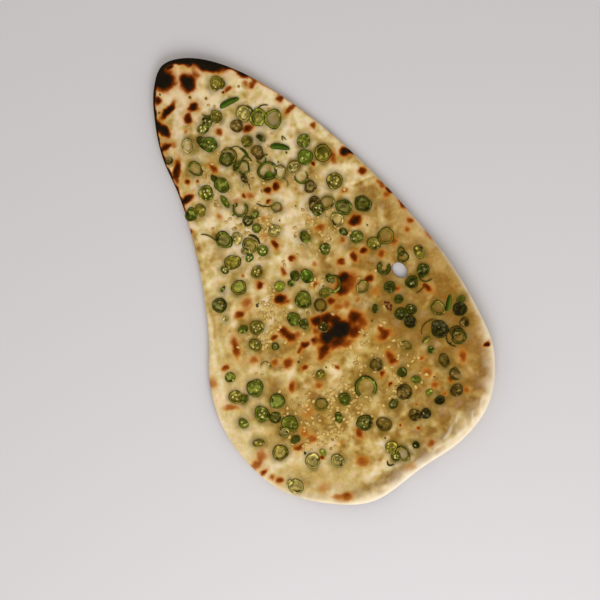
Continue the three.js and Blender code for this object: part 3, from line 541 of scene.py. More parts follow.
def scorch_at(x, y, inward):
    """How dark the bake is: 0 for plain bread, 0.4 for orange brown, 1 for black.

    Spots add up by their cubes, so that where some meet, the darkest one shows.
    """
    wx, wy = wandered(x, y, SCORCH_WANDER)
    cubes = np.zeros(len(x))
    for cx, cy, half_x, half_y, peak, *turn in SCORCH:
        out = in_oval(wx, wy, cx, cy, half_x, half_y, *turn)
        toasted = TOASTED_SHARE * min(peak, TOASTED_AT_MOST) * np.exp(-((out / TOASTED_REACH) ** 2))
        cubes += (peak * np.exp(-SPOT_FALLOFF * out**3)) ** 3 + toasted**3
    ragged = inward + uneven(x, y, CHARRED_WANDER)
    reach = stops(CHARRED_EDGE, 1, x, y)
    charred = fade((CHARRED_FULL * reach, CHARRED_NONE * reach + CHARRED_BLUR), ragged)
    cubes += (stops(CHARRED_EDGE, 2, x, y) * charred) ** 3
    return np.cbrt(cubes)


def folds_at(x, y):
    wx, wy = wandered(x, y, FOLD_WANDER)
    height = np.zeros(len(x))
    for ax, ay, bx, by, half_width, rise in FOLDS:
        dx, dy = bx - ax, by - ay
        t = np.clip(((wx - ax) * dx + (wy - ay) * dy) / (dx * dx + dy * dy), 0, 1)
        away = np.hypot(wx - ax - t * dx, wy - ay - t * dy)
        tapered = np.sqrt(np.maximum(0, 4 * t * (1 - t)) + FOLD_END)
        height += rise * np.exp(-((away / half_width) ** 2)) * tapered
    return height


def top_at(x, y):
    """Heights of the top, in millimetres."""
    x, y = np.asarray(x, float), np.asarray(y, float)
    inward = from_rim(x, y)
    half = thickness_at(x, y, inward) / 2
    relief = SWELL_HEIGHT * np.sin(x / SWELL_ACROSS) * np.sin(y / SWELL_ALONG)
    for bx, by, radius, height in BLISTERS:
        relief += height * np.exp(-((x - bx) ** 2 + (y - by) ** 2) / (radius * radius * BLISTER_FLATNESS))
    relief *= smoothstep(0, LIP_IN, inward) * smoothstep(0, HOLE_THINNED_TO, from_hole(x, y))
    dough = uneven(x, y, DOUGH_RELIEF) + folds_at(x, y)
    dough += SCORCH_RISE * np.minimum(scorch_at(x, y, inward), 1)
    dough *= smoothstep(0, TOP_FLAT_TO, inward) * smoothstep(HOLE_HALF_WIDTH, HOLE_FLAT_TO, from_hole(x, y))
    return lift_at(x, y, inward) + half * (1 + fullness(inward)) + relief + dough


def height_of_top(x, y):
    """The height of the top at one place."""
    return float(top_at([x], [y])[0])


def underside_at(x, y):
    inward = from_rim(x, y)
    half = thickness_at(x, y, inward) / 2
    rough = np.abs(uneven(x, y, UNDERSIDE_RELIEF)) * smoothstep(0, UNDERSIDE_FLAT_TO, inward)
    return lift_at(x, y, inward) + half * (1 - fullness(inward)) + rough


# --------------------------------------------------------------- mesh building

CONVEX_HULL = 0  # asks the triangulation for all of the points' hull
SAME_POINT = 1e-5


def loop_inside(loop, inward):
    """A closed run of points moved towards its right, which is inwards for the clockwise rim."""
    tangent = np.roll(loop, -1, 0) - np.roll(loop, 1, 0)
    tangent /= np.linalg.norm(tangent, axis=1)[:, None]
    return loop + inward * np.stack([tangent[:, 1], -tangent[:, 0]], 1)


def hole_loop(grown):
    angle = around(HOLE_SPOKES)
    u = (HOLE_HALF_WIDTH + grown) * np.cos(angle)
    v = (HOLE_HALF_LENGTH + grown) * np.sin(angle)
    return np.stack(placed(*HOLE, HOLE_TURN, u, v), 1)


def filling(spacing, keep_in, draw):
    """A jittered honeycomb of points over the bread, clear of the rim and the hole."""
    (left, low), (right, high) = MEASURED_RIM.min(0), MEASURED_RIM.max(0)
    rows = np.arange(low, high, spacing * math.sqrt(3) / 2)
    x, y = np.meshgrid(np.arange(left, right, spacing), rows)
    x = x + (np.arange(len(rows)) % 2)[:, None] * spacing / 2
    points = np.stack([x.ravel(), y.ravel()], 1)
    points += draw.uniform(-JITTER, JITTER, points.shape) * spacing
    x, y = points.T
    inside = (from_rim(x, y) > keep_in) & inside_rim(x, y)
    hole_and_margin = (HOLE_HALF_WIDTH + FILLED_FROM_HOLE, HOLE_HALF_LENGTH + FILLED_FROM_HOLE)
    clear = in_oval(x, y, *HOLE, *hole_and_margin, math.degrees(HOLE_TURN)) > 1
    return points[inside & clear]


def triangulate(points, rim_count, hole_count):
    """Triangles over the points, of which the first are the rim's and the next the hole's."""
    edges = [(i, (i + 1) % rim_count) for i in range(rim_count)]
    edges += [(rim_count + i, rim_count + (i + 1) % hole_count) for i in range(hole_count)]
    corners = [Vector(point) for point in points.tolist()]
    _, _, faces, sources, _, _ = delaunay_2d_cdt(corners, edges, [], CONVEX_HULL, SAME_POINT)
    triangles = np.array([source[0] for source in sources])[np.array(faces)]
    on_rim = (triangles < rim_count).all(1)
    on_hole = ((triangles >= rim_count) & (triangles < rim_count + hole_count)).all(1)
    return triangles[~on_rim & ~on_hole]


def mesh_object(name, points, faces, attributes=None, smooth=True):
    """A mesh from points in millimetres; attributes are floats or colours by point."""
    mesh = bpy.data.meshes.new(name)
    mesh.from_pydata((np.asarray(points) * MM).tolist(), [], [list(map(int, f)) for f in faces])
    for key, values in (attributes or {}).items():
        values = np.asarray(values, np.float32)
        kind, field = ("FLOAT", "value") if values.ndim == 1 else ("FLOAT_COLOR", "color")
        mesh.attributes.new(key, kind, "POINT").data.foreach_set(field, values.ravel())
    if smooth:
        mesh.shade_smooth()
    piece = bpy.data.objects.new(name, mesh)
    bpy.context.scene.collection.objects.link(piece)
    return piece


# ------------------------------------------------------------------- materials

MIX_SHARE, MIX_A, MIX_B, MIX_COLOUR = 0, 6, 7, 2  # sockets of a Mix node that mixes colours
PATCH_EDGE = 7.0


class Shader:
    """A material's nodes, made and joined in one call each."""

    def __init__(self, name):
        self.material = bpy.data.materials.new(name)
        self.material.use_nodes = True
        self.tree = self.material.node_tree
        self.surface = self.tree.nodes["Principled BSDF"]

    def node(self, kind, inputs=None, **settings):
        made = self.tree.nodes.new("ShaderNode" + kind)
        for key, value in settings.items():
            setattr(made, key, value)
        for key, value in (inputs or {}).items():
            self.feed(made.inputs[key], value)
        return made

    def feed(self, socket, value):
        if isinstance(value, bpy.types.NodeSocket):
            self.tree.links.new(value, socket)
        else:
            socket.default_value = value

    def math(self, operation, a, b=0.0, c=0.0, clamp=False):
        return self.node("Math", {0: a, 1: b, 2: c}, operation=operation, use_clamp=clamp).outputs[0]

    def mix(self, share, a, b, how="MIX"):
        inputs = {MIX_SHARE: share, MIX_A: a, MIX_B: b}
        return self.node("Mix", inputs, data_type="RGBA", blend_type=how).outputs[MIX_COLOUR]

    def multiply(self, a, b):
        return self.mix(1.0, a, b, "MULTIPLY")

    def scaled(self, value, by, plus):
        return self.math("MULTIPLY_ADD", value, by, plus)

    def ramp(self, value, marks):
        made = self.node("ValToRGB", {"Fac": value})
        elements = made.color_ramp.elements
        while len(elements) < len(marks):
            elements.new(1.0)
        for element, (position, colour) in zip(elements, marks):
            element.position = position
            element.color = colour
        return made.outputs[0]

    def grain(self, size, detail=3.0, roughness=0.55, shift=0):
        """Noise whose bumps are about this many millimetres across."""
        where = self.node("TexCoord").outputs["Object"]
        if shift:
            where = self.node("Mapping", {"Vector": where, "Location": (shift, shift, shift)}).outputs[0]
        inputs = {"Vector": where, "Scale": 1 / (size * MM), "Detail": detail, "Roughness": roughness}
        return self.node("TexNoise", inputs).outputs["Fac"]

    def patches(self, size, threshold, strength, shift=0):
        """Soft-edged patches: 0 between them, up to the strength inside."""
        above = self.math("SUBTRACT", self.grain(size, shift=shift), threshold, clamp=True)
        return self.math("MULTIPLY", self.math("MULTIPLY", above, PATCH_EDGE, clamp=True), strength)

    def attribute(self, name, output="Fac"):
        return self.node("Attribute", attribute_name=name).outputs[output]

    def bump(self, height, distance, strength, under=None):
        inputs = {"Height": height, "Distance": distance * MM, "Strength": strength}
        if under is not None:
            inputs["Normal"] = under
        return self.node("Bump", inputs).outputs["Normal"]

    def finish(self, **inputs):
        for key, value in inputs.items():
            self.feed(self.surface.inputs[key.replace("_", " ")], value)
        return self.material


CREAM = srgb(236, 222, 194)
WHEAT = srgb(205, 184, 127)
TAN = srgb(168, 137, 72)
DEEP_TAN = srgb(142, 104, 44)
BUTTER = srgb(188, 156, 74)
FLOUR = srgb(222, 206, 166)
BLUSH = srgb(200, 158, 98)
LIP_HIGHLIGHT = srgb(245, 233, 210)
STAIN_AND_SHADE = srgb(118, 96, 30)
SESAME, SESAME_TOASTED = srgb(220, 188, 110), srgb(188, 150, 70)
WARM_SHEEN = (1.0, 0.86, 0.15, 1.0)

TONE_RAMP = [(0.0, CREAM), (0.4, WHEAT), (0.8, TAN), (1.0, DEEP_TAN)]
WARMTH_RAMP = [(0.38, (1, 0.86, 0.8, 1)), (0.5, (1, 0.96, 0.92, 1)), (0.64, (0.98, 1, 0.9, 1))]
YELLOWING_RAMP = [(0.38, (1, 0.97, 0.74, 1)), (0.62, (1, 1, 1, 1))]
SCORCH_RAMP = [
    (0.0, srgb(200, 148, 66)), (0.18, srgb(193, 121, 40)), (0.34, srgb(165, 90, 20)),
    (0.48, srgb(128, 54, 6)), (0.62, srgb(90, 24, 0)), (0.76, srgb(52, 11, 0)), (0.9, srgb(14, 7, 11)),
]
SCORCH_COVER = [(0.03, grey(0)), (0.16, grey(0.42)), (0.34, grey(0.85)), (0.5, grey(1))]
GREASE_RAMP = [(0.35, grey(0.45)), (0.65, grey(0.65))]
CHILLI_MOTTLE = [(0.3, grey(0.8)), (0.7, grey(1.16))]


def bread_material():
    s = Shader("baked_dough")
    mottle = s.scaled(s.grain(3, detail=4, roughness=0.66), by=0.7, plus=-0.35)
    base = s.ramp(s.math("ADD", s.attribute("tone"), mottle, clamp=True), TONE_RAMP)
    warmth = s.scaled(s.attribute("ruddy"), by=-0.08, plus=s.grain(6, detail=4, roughness=0.6))
    base = s.multiply(base, s.ramp(warmth, WARMTH_RAMP))
    base = s.multiply(base, s.ramp(s.grain(3.6, roughness=0.6), YELLOWING_RAMP))
    base = s.mix(s.patches(12, threshold=0.52, strength=0.3), base, BLUSH)
    base = s.mix(s.patches(14, threshold=0.54, strength=0.18, shift=1), base, FLOUR)
    greasy = s.patches(5, threshold=0.42, strength=0.4, shift=2)
    base = s.mix(s.math("MULTIPLY", s.attribute("butter"), greasy), base, BUTTER)
    # Painted highlight along the rim's lip and on the lower right's fold ridges.
    base = s.mix(s.attribute("pale"), base, LIP_HIGHLIGHT)
    # Juice stain and painted contact shade round the slices, darkening inside the rings.
    base = s.mix(s.attribute("stain_and_shade"), base, STAIN_AND_SHADE)
    flicker = s.scaled(s.grain(2.2, detail=4, roughness=0.65), by=0.5, plus=0.78)
    heat = s.math("MULTIPLY", s.attribute("scorch"), flicker)
    baked = s.ramp(s.math("MULTIPLY", heat, 0.9), SCORCH_RAMP)
    base = s.mix(s.ramp(heat, SCORCH_COVER), base, baked)
    wavy = s.bump(s.grain(4.5), distance=0.5, strength=0.5)
    pores = s.grain(0.9, detail=4, roughness=0.6)
    fine = s.bump(pores, distance=0.16, strength=0.6, under=wavy)
    dry = s.math("MULTIPLY", heat, 0.25)
    roughness = s.math("ADD", s.ramp(s.grain(6, detail=2), GREASE_RAMP), dry, clamp=True)
    return s.finish(Base_Color=base, Roughness=roughness, Normal=fine, Specular_IOR_Level=0.18,
                    Specular_Tint=WARM_SHEEN, Subsurface_Weight=0.12,
                    Subsurface_Radius=(1.0, 0.55, 0.28), Subsurface_Scale=1.6 * MM)


def chilli_material():
    s = Shader("cooked_chilli")
    mottle = s.ramp(s.grain(1.6, roughness=0.6), CHILLI_MOTTLE)
    colour = s.multiply(s.attribute("tint", "Color"), mottle)
    wrinkled = s.bump(s.grain(1.5, detail=2, roughness=0.5), distance=0.22, strength=0.5)
    return s.finish(Base_Color=colour, Roughness=0.3, Normal=wrinkled, Specular_IOR_Level=0.2,
                    Specular_Tint=WARM_SHEEN, Subsurface_Weight=0.1,
                    Subsurface_Radius=(0.7, 1.0, 0.2), Subsurface_Scale=1.2 * MM)


def sesame_material():
    s = Shader("sesame")
    toasting = s.mix(s.grain(3.5, detail=1), SESAME, SESAME_TOASTED)
    tint = s.multiply(toasting, s.attribute("tint", "Color"))
    dimpled = s.bump(s.grain(0.8, detail=2), distance=0.08, strength=0.4)
    return s.finish(Base_Color=tint, Roughness=0.45, Normal=dimpled, Specular_IOR_Level=0.3,
                    Subsurface_Weight=0.2, Subsurface_Radius=(1.0, 0.8, 0.4), Subsurface_Scale=0.8 * MM)


# ------------------------------------------------------------------- the bread

BAKE_PAGE, BAKE_MARGIN = 490, 2  # the bake map's size over the bread, and the room beside it


def bread_form():
    """Points of the bread as seen from above, their heights, its faces, and its first lower point."""
    draw = np.random.default_rng(7)
    rim = rim_points(RIM_STEP)
    rim_count, edge_count = len(rim), len(rim) + HOLE_SPOKES
    top_loops = [loop_inside(rim, inward) for inward in TOP_LOOPS]
    top = np.vstack([rim, hole_loop(TOP_HOLE), *top_loops, hole_loop(SECOND_TOP_HOLE),
                     filling(TOP_SPACING, TOP_FILLED_FROM, draw)])
    low_loops = [loop_inside(rim, inward) for inward in LOW_LOOPS]
    low_loops.append(loop_inside(rim, LOW_COARSE_LOOP)[::2])
    low = np.vstack([rim, hole_loop(LOW_HOLE), *low_loops, filling(LOW_SPACING, LOW_FILLED_FROM, draw)])

    # Top and underside share the rim; between their edges at the hole runs a wall with one loop of its own.
    first_low, first_wall = len(top), len(top) + len(low) - rim_count
    low_number = np.concatenate([np.arange(rim_count), np.arange(first_low, first_wall)])
    top_faces = triangulate(top, rim_count, HOLE_SPOKES)
    low_faces = low_number[triangulate(low, rim_count, HOLE_SPOKES)]
    faces = [*top_faces.tolist(), *low_faces[:, ::-1].tolist()]
    for i in range(HOLE_SPOKES):
        j = (i + 1) % HOLE_SPOKES
        for upper, lower in ((rim_count, first_wall), (first_wall, first_low)):
            faces.append([upper + j, upper + i, lower + i, lower + j])

    heights, low_heights = top_at(*top.T), underside_at(*low.T)
    wall_heights = (heights[rim_count:edge_count] + low_heights[rim_count:edge_count]) / 2
    flat = np.vstack([top, low[rim_count:], hole_loop(0)])
    return flat, np.concatenate([heights, low_heights[rim_count:], wall_heights]), faces, first_low


def tone_at(x, y, ruddy):
    mottled = 1 - CALM_RIGHT_BY * smoothstep(*CALM_RIGHT, x)
    mottled -= CALM_LEFT_BY * smoothstep(*CALM_LEFT, x + LEFT_SLANT * y)
    mottled -= CALM_RUDDY_BY * ruddy * (x < CALM_RIGHT[0])
    tone = MEAN_TONE + uneven(x, y, BROAD_TONE)
    tone -= PALER_FOLDS * folds_at(x, y) * smoothstep(*PALER_FOLDS_ALONG, y)
    tone += np.maximum(mottled, LEAST_MOTTLED) * uneven(x, y, FINE_TONE)
    # Some of these ovals are painted shade as well as browning.
    tone += blobs(TONE_AND_SHADE, x, y)
    return tone + DEEPENED * smoothstep(*DEEPENED_TONES, tone)


def highlight_at(x, y, inward):
    # Painted highlight: paler along the rim's lit lip and on the lower right's fold ridges.
    reach = stops(EDGE_HIGHLIGHT, 2, x, y) * (1 + uneven(x, y, EDGE_HIGHLIGHT_WANDER))
    faded = (np.maximum(0, inward - EDGE_HIGHLIGHT_FROM) / reach) ** EDGE_HIGHLIGHT_CURVE * EDGE_HIGHLIGHT_FADE
    pale = stops(EDGE_HIGHLIGHT, 1, x, y) * np.exp(-faded)
    creased = smoothstep(*FOLD_HIGHLIGHT_HEIGHTS, folds_at(x, y)) * smoothstep(*FOLD_HIGHLIGHT_ALONG, y)
    return pale + FOLD_HIGHLIGHT * creased * (1 - pale)


def butter_at(x, y):
    drifts = [fade(DRIFT_EDGE, in_oval(x, y, *oval)) for *oval, _ in DRIFTS[:WIDE_DRIFTS]]
    return np.max(drifts, axis=0)


def stain_and_shade_at(x, y):
    """How much juice stain and painted contact shade darken the bread: in a ragged halo round each slice,
    and inside the rings.
    """
    stain_and_shade = np.zeros_like(x)
    ragged = uneven(x, y, JUICE_AND_SHADE_WANDER)
    halo_strength = np.clip(MEAN_JUICE_AND_SHADE + uneven(x, y, JUICE_AND_SHADE_SPREAD) + blobs(JUICE_AND_SHADE, x, y), LEAST_JUICE_AND_SHADE, 1)
    for place in places_of_slices():
        stain_and_shade = np.maximum(stain_and_shade, fade(HALO, beyond(x, y, *place) + ragged) * halo_strength)
    closed, curled = rings_of_skin()
    for *place, flesh_kind in closed:
        ring_strength = RING_DARKENING[flesh_kind] * (RING_STEADY + RING_VARIES * halo_strength)
        stain_and_shade += (ring_strength - stain_and_shade) * fade(RING_INSIDE, beyond(x, y, *place))
    for place in curled:
        stain_and_shade *= 1 - CURL_CLEARER * fade(CURL_INSIDE, beyond(x, y, *place))
    return stain_and_shade


def bake(x, y):
    """What baking and toppings left on the bread, with its painted highlight and painted shade, by name:
    over its top and over its underside.
    """
    inward = from_rim(x, y)
    ruddy = smoothstep(*RUDDY_ACROSS, x) * smoothstep(*RUDDY_ALONG, y)
    leopard = LEOPARD_DARKNESS * smoothstep(*LEOPARD_EDGE, uneven(x, y, LEOPARD))
    return {
        "butter": (butter_at(x, y), 0),
        "stain_and_shade": (stain_and_shade_at(x, y), 0),
        "scorch": (scorch_at(x, y, inward), leopard),
        "tone": (np.clip(tone_at(x, y, ruddy), 0, 1), UNDERSIDE_TONE),
        "pale": (highlight_at(x, y, inward), 0),
        "ruddy": (ruddy, 0),
    }


def bread():
    flat, heights, faces, first_low = bread_form()
    below = np.arange(len(flat)) >= first_low
    looks = {name: np.where(below, under, over) for name, (over, under) in bake(*flat.T).items()}
    piece = mesh_object("naan", np.column_stack([flat, heights]), faces, looks)
    mesh = piece.data
    # Seen from above on the left half of the bake, from below on the right half.
    page = (flat - MEASURED_RIM.min(0) + BAKE_MARGIN) / BAKE_PAGE
    corners = np.empty(len(mesh.loops), np.int32)
    mesh.loops.foreach_get("vertex_index", corners)
    starts, totals = np.empty((2, len(mesh.polygons)), np.int32)
    mesh.polygons.foreach_get("loop_start", starts)
    mesh.polygons.foreach_get("loop_total", totals)
    under_face = np.repeat(np.add.reduceat(below[corners].astype(int), starts) > 0, totals)
    uv = page[corners]
    uv[under_face, 0] += 0.5
    mesh.uv_layers.new(name="OFBake").data.foreach_set("uv", uv.astype(np.float32).ravel())
    mesh.materials.append(bread_material())
    return piece


# ------------------------------------------------------------------ the chilli

SKIN = {
    "f": (28, 49, 4), "g": (37, 45, 3), "l": (58, 60, 6), "o": (54, 46, 5), "p": (88, 78, 20),
    "b": (50, 34, 5), "d": (27, 27, 3), "k": (19, 17, 4), "y": (66, 55, 6),
}
FLESH = {
    "f": (92, 117, 22), "g": (97, 104, 22), "l": (132, 136, 36), "o": (128, 116, 32), "p": (176, 160, 86),
    "b": (100, 76, 23), "d": (73, 75, 15), "k": (47, 42, 11), "y": (156, 140, 46), "r": (104, 44, 36),
}
SEED_CREAM = (240, 220, 146)
THIN_SKIN = (196, 172, 98)
MEMBRANE = (126, 104, 46)
LIME_CORE = (164, 172, 74)

STRIP_GREEN, STRIP_RELIEF = (50, 76, 14), [(0.12, 2, 63)]
STRIP_HALF_WIDTH, STRIP_TAPER, STRIP_BEND, STRIP_FLATNESS, STRIP_LIFT = 2.7, 0.15, 1.1, 0.6, 1.3
STRIP_SETTLED, STRIP_SHADE, STRIP_DARK_SIDE = 3, 1.05, 0.35
STRIPES, STRIPE_STRETCH = [(0.55, 2, 64)], (0.3, 2.2)
PEEL_LIFT, PEEL_HALF_HEIGHT, PEEL_FLESH_SIDE = 0.7, 0.8, 0.6
FLECK_WIDTH, FLECK_HEIGHT, FLECK_SHADE = 0.7, 0.9, 0.75
# A seed's painted shade: lighter over its top, darker and yellower over its underside.
KERNEL_TAPER, KERNEL_LIT_TOP, KERNEL_UNDERSIDE_SHADE, KERNEL_UNDERSIDE_SHADE_TINT = 0.28, 1.6, 0.7, (1, 1.2, 2)

# The middles of slices that aren't open: how high they stand.
MIDDLE_HEIGHT = {"s": 0.5, "m": 0.6, "n": 1.1, "x": 0.45, "w": 0.3, "c": 1.0}
# Their colour: how much of the flesh's own, what else, how much of that.
MIDDLE_COLOUR = {
    "s": (0.42, MEMBRANE, 0.32), "m": (0.45, MEMBRANE, 0.32), "w": (0.36, THIN_SKIN, 0.44),
    "c": (0.2, LIME_CORE, 0.74), "n": (0.6, THIN_SKIN, 0), "x": (0.32, THIN_SKIN, 0),
    "h": (1, THIN_SKIN, 0), "t": (1, THIN_SKIN, 0),
}
SEPTA = {"s": 0.5, "m": 0.7, "x": 0.15, "w": 0.2}  # how brightly three walls cross the middle
SEPTUM_WIDTH, SEPTUM_WITHIN, SEPTUM_RISE, SEPTUM_BRIGHT, SEPTUM_STRAY = 0.16, 0.66, 0.5, 1.35, 0.3
SEEDS_WITHIN = {"s": (3, 6), "m": (0, 3), "x": (0, 2)}  # at least, and fewer than
SEED_SIZE, SEED_LIFT, SEED_STRAY, SEED_AWAY = (2.3, 1.8, 1), 0.8, 0.4, (0.22, 0.48)
SEED_SHADES, SEED_WHITE, SEED_IN_DARK_FLESH, DARK_FLESH = (0.5, 1.15), 0.85, 0.45, "dkb"

# Rings of a slice: share of its radius, height, layer (0 skin, 1 flesh, 2 middle). In a closed middle the
# height is a share of the middle's own, and more.
CLOSED_MIDDLE = [
    (0, 1, 0.1, 2), (0.18, 1, 0.1, 2), (0.34, 1, 0, 2), (0.48, 1, 0.02, 2), (0.6, 1, 0.08, 1.9),
    (0.68, 0.5, 0.5, 0.5),
]
SLICE_RIM = [
    (0.76, 1.05, 0.7), (0.79, 1.2, 0.95), (0.845, 1.3, 0.95), (0.885, 1.28, 0.55), (0.925, 1.15, 0.1),
    (0.975, 0.85, 0.03), (1.0, 0.5, 0), (0.99, 0.1, 0), (0.94, -0.35, 0),
]
RING_BORE = [(0.7, -0.35, 1), (0.71, 0.2, 0.7), (0.73, 0.7, 0.3)]
THICK_BORE = [(0.36, -0.35, 0.6), (0.37, 0.3, 0.5), (0.42, 0.8, 0.7), (0.55, 1, 1)]
UNDER_MIDDLE = (0, -0.35, 0)
SLICE_SPOKES = 40
SLICE_SPREAD, SLICE_HEIGHT, HEIGHT_BY_DIAMETER = 0.52, 0.85, 0.05
FINER_LOBES = 0.6
SLICE_LOBES, SLICE_WOBBLE, WOBBLE_WITHIN = (0.015, 0.06), 0.02, 0.8
CORE_SHIFT, SHIFT_WITHIN = 0.07, 0.9
SLICE_RELIEF, SLICE_LEAN, LEANING_ABOVE = [(0.14, 2.6, 61)], 0.2, 0.1

# Its shading: layers of mottling, a painted shaded side, darker blotches, painted shade in the groove round
# the middle, and painted glints.
SLICE_MOTTLE, CORE_MOTTLE, CORE_WITHIN, CORE_SHADES = [(0.3, 2.2, 62)], [(0.3, 1.3, 68)], 0.72, 0.35
SLICE_SHADED_SIDE, SLICE_SHADES = 0.2, 0.12
BLOTCHES, BLOTCH_EDGE, BLOTCH_DARKNESS = [(1, 3.4, 65), (0.4, 1.6, 66)], (0.1, 0.9), 0.5
GROOVE_AT, GROOVE_WIDTH, GROOVE_SHADE, GROOVE_VARIES = 0.7, 0.07, 0.4, 0.3
GLINTS, GLINT_EDGE, GLINT_ABOVE, GLINT_WITHIN = [(1, 2.2, 67)], (0.3, 0.85), 0.4, 0.93
GLINT_SHARE, GLINT_BRIGHT, GLINT_WHITE = 0.85, 2.3, 0.04

# How stiffly a slice spans dips, how far it may sink into a hump, and in how many places it is measured.
STIFFNESS, SUNK_INTO_HUMP, SETTLED_ALL_ROUND = 0.45, 0.3, 8


def node_place(node):
    """Middle and mean diameter of a CAD node, in millimetres."""
    low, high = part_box(node)
    middle = (low + high) / 2 / MM
    size = (high - low) / MM
    return middle.x, middle.y, (size.x + size.y) / 2


def nodes_of(kind):
    """The names of a kind's CAD nodes, in the order of its table."""
    return sorted(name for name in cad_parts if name.startswith(f"chilli_{kind}_"))


def places_of_slices():
    nodes = [*nodes_of("disc"), *nodes_of("ring")]
    return [*map(node_place, nodes), *(row[:3] for row in [*SMALL_SLICES, *ARCS])]


def rings_of_skin():
    """The rings that show bread: the closed ones with their flesh, and the open ones."""
    closed = [(*node_place(node), look[0]) for node, (look, _, _) in zip(nodes_of("ring"), RING_LOOKS)]
    closed += [(*place, look[0]) for *place, look, _, _ in SMALL_SLICES if look[1] == "h"]
    return closed, [row[:3] for row in [*ARCS, *CURLS]]


def linear(colour):
    return np.array(srgb(*colour)[:3])


class Pieces:
    """Meshes joined into one as they are made."""

    def __init__(self):
        self.points, self.faces, self.tints, self.count = [], [], [], 0

    def add(self, x, y, z, faces, tints):
        self.points.append(np.column_stack([x.ravel(), y.ravel(), z.ravel()]))
        self.tints.append(np.column_stack([tints.reshape(-1, 3), np.ones(x.size)]))
        self.faces += [[i + self.count for i in face] for face in faces]
        self.count += x.size

    def made(self, name, material, slot, *nodes):
        points, tints = np.vstack(self.points), np.vstack(self.tints)
        piece = mesh_object(name, points, self.faces, {"tint": tints})
        piece.data.materials.append(material)
        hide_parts(*nodes)
        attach(piece, "root")


def grid_faces(rings, spokes, closed=True):
    """Quads of a grid of rings; ring numbers rise outwards over the top and back below."""
    faces = []
    for ring in range(rings - 1):
        for spoke in range(spokes if closed else spokes - 1):
            a, b = ring * spokes + spoke, ring * spokes + (spoke + 1) % spokes
            faces.append([a, a + spokes, b + spokes, b])
    return faces


def tube_faces(rings, spokes):
    """The same quads turned over, for rings that follow each other along a body."""
    return [face[::-1] for face in grid_faces(rings, spokes)]


def settled(x, y, z, cx, cy, reach):
    """Lays local heights on the bread: partly as a stiff slice would lie, partly as the bread dips."""
    ring = around(SETTLED_ALL_ROUND)
    rim = top_at(cx + reach * np.cos(ring), cy + reach * np.sin(ring))
    slope_x = 2 * ((rim - rim.mean()) * np.cos(ring)).mean() / reach
    slope_y = 2 * ((rim - rim.mean()) * np.sin(ring)).mean() / reach
    level = max(rim.mean(), height_of_top(cx, cy) - SUNK_INTO_HUMP)
    plane = level + slope_x * (x - cx) + slope_y * (y - cy)
    under = top_at(x.ravel(), y.ravel()).reshape(x.shape)
    return z + STIFFNESS * plane + (1 - STIFFNESS) * under


def slice_profile(middle):
    """Rings of a slice, from its middle on top round to underneath."""
    if middle == "h":
        return [*RING_BORE, *SLICE_RIM, RING_BORE[0]]
    if middle == "t":
        return [*THICK_BORE, *SLICE_RIM, THICK_BORE[0]]
    height = MIDDLE_HEIGHT[middle]
    closed = [(share, of_height * height + more, layer) for share, of_height, more, layer in CLOSED_MIDDLE]
    return [*closed, *SLICE_RIM, UNDER_MIDDLE]


def septa(angle, share, twist, draw):
    """For each of a slice's three inner walls, how much of it there is at each point."""
    turns = twist + np.arange(3) * 2 * math.pi / 3 + draw.uniform(-SEPTUM_STRAY, SEPTUM_STRAY, 3)
    for turn in turns:
        aside = np.sin((angle - turn) / 2) * 2 * share
        yield np.exp(-((aside / SEPTUM_WIDTH) ** 2)) * (share < SEPTUM_WITHIN)


def layered(layer, skin, flesh, core):
    """Colours by layer: 0 skin, 1 flesh, 2 middle, and between them a mixture."""
    layer = layer[..., None]
    return np.where(layer < 1, skin + (flesh - skin) * layer, flesh + (core - flesh) * (layer - 1))


def slice_shade(x, y, angle, share, twist, middle, draw):
    """How bright each point of a slice is, with painted shade on one side and in the groove round the
    middle; 1 leaves its colour as it is.
    """
    shade = 1 + uneven(x, y, SLICE_MOTTLE) + SLICE_SHADED_SIDE * np.cos(angle - 2 * twist) * share
    shade += SLICE_SHADES * draw.uniform(-1, 1)
    shade -= BLOTCH_DARKNESS * smoothstep(*BLOTCH_EDGE, uneven(x, y, BLOTCHES))
    shade += uneven(x, y, CORE_MOTTLE) * (share < CORE_WITHIN)
    if middle in MIDDLE_HEIGHT:
        groove = np.exp(-(((share - GROOVE_AT) / GROOVE_WIDTH) ** 2))
        shade -= (GROOVE_SHADE + GROOVE_VARIES * np.cos(2 * angle + twist)) * groove
    return shade


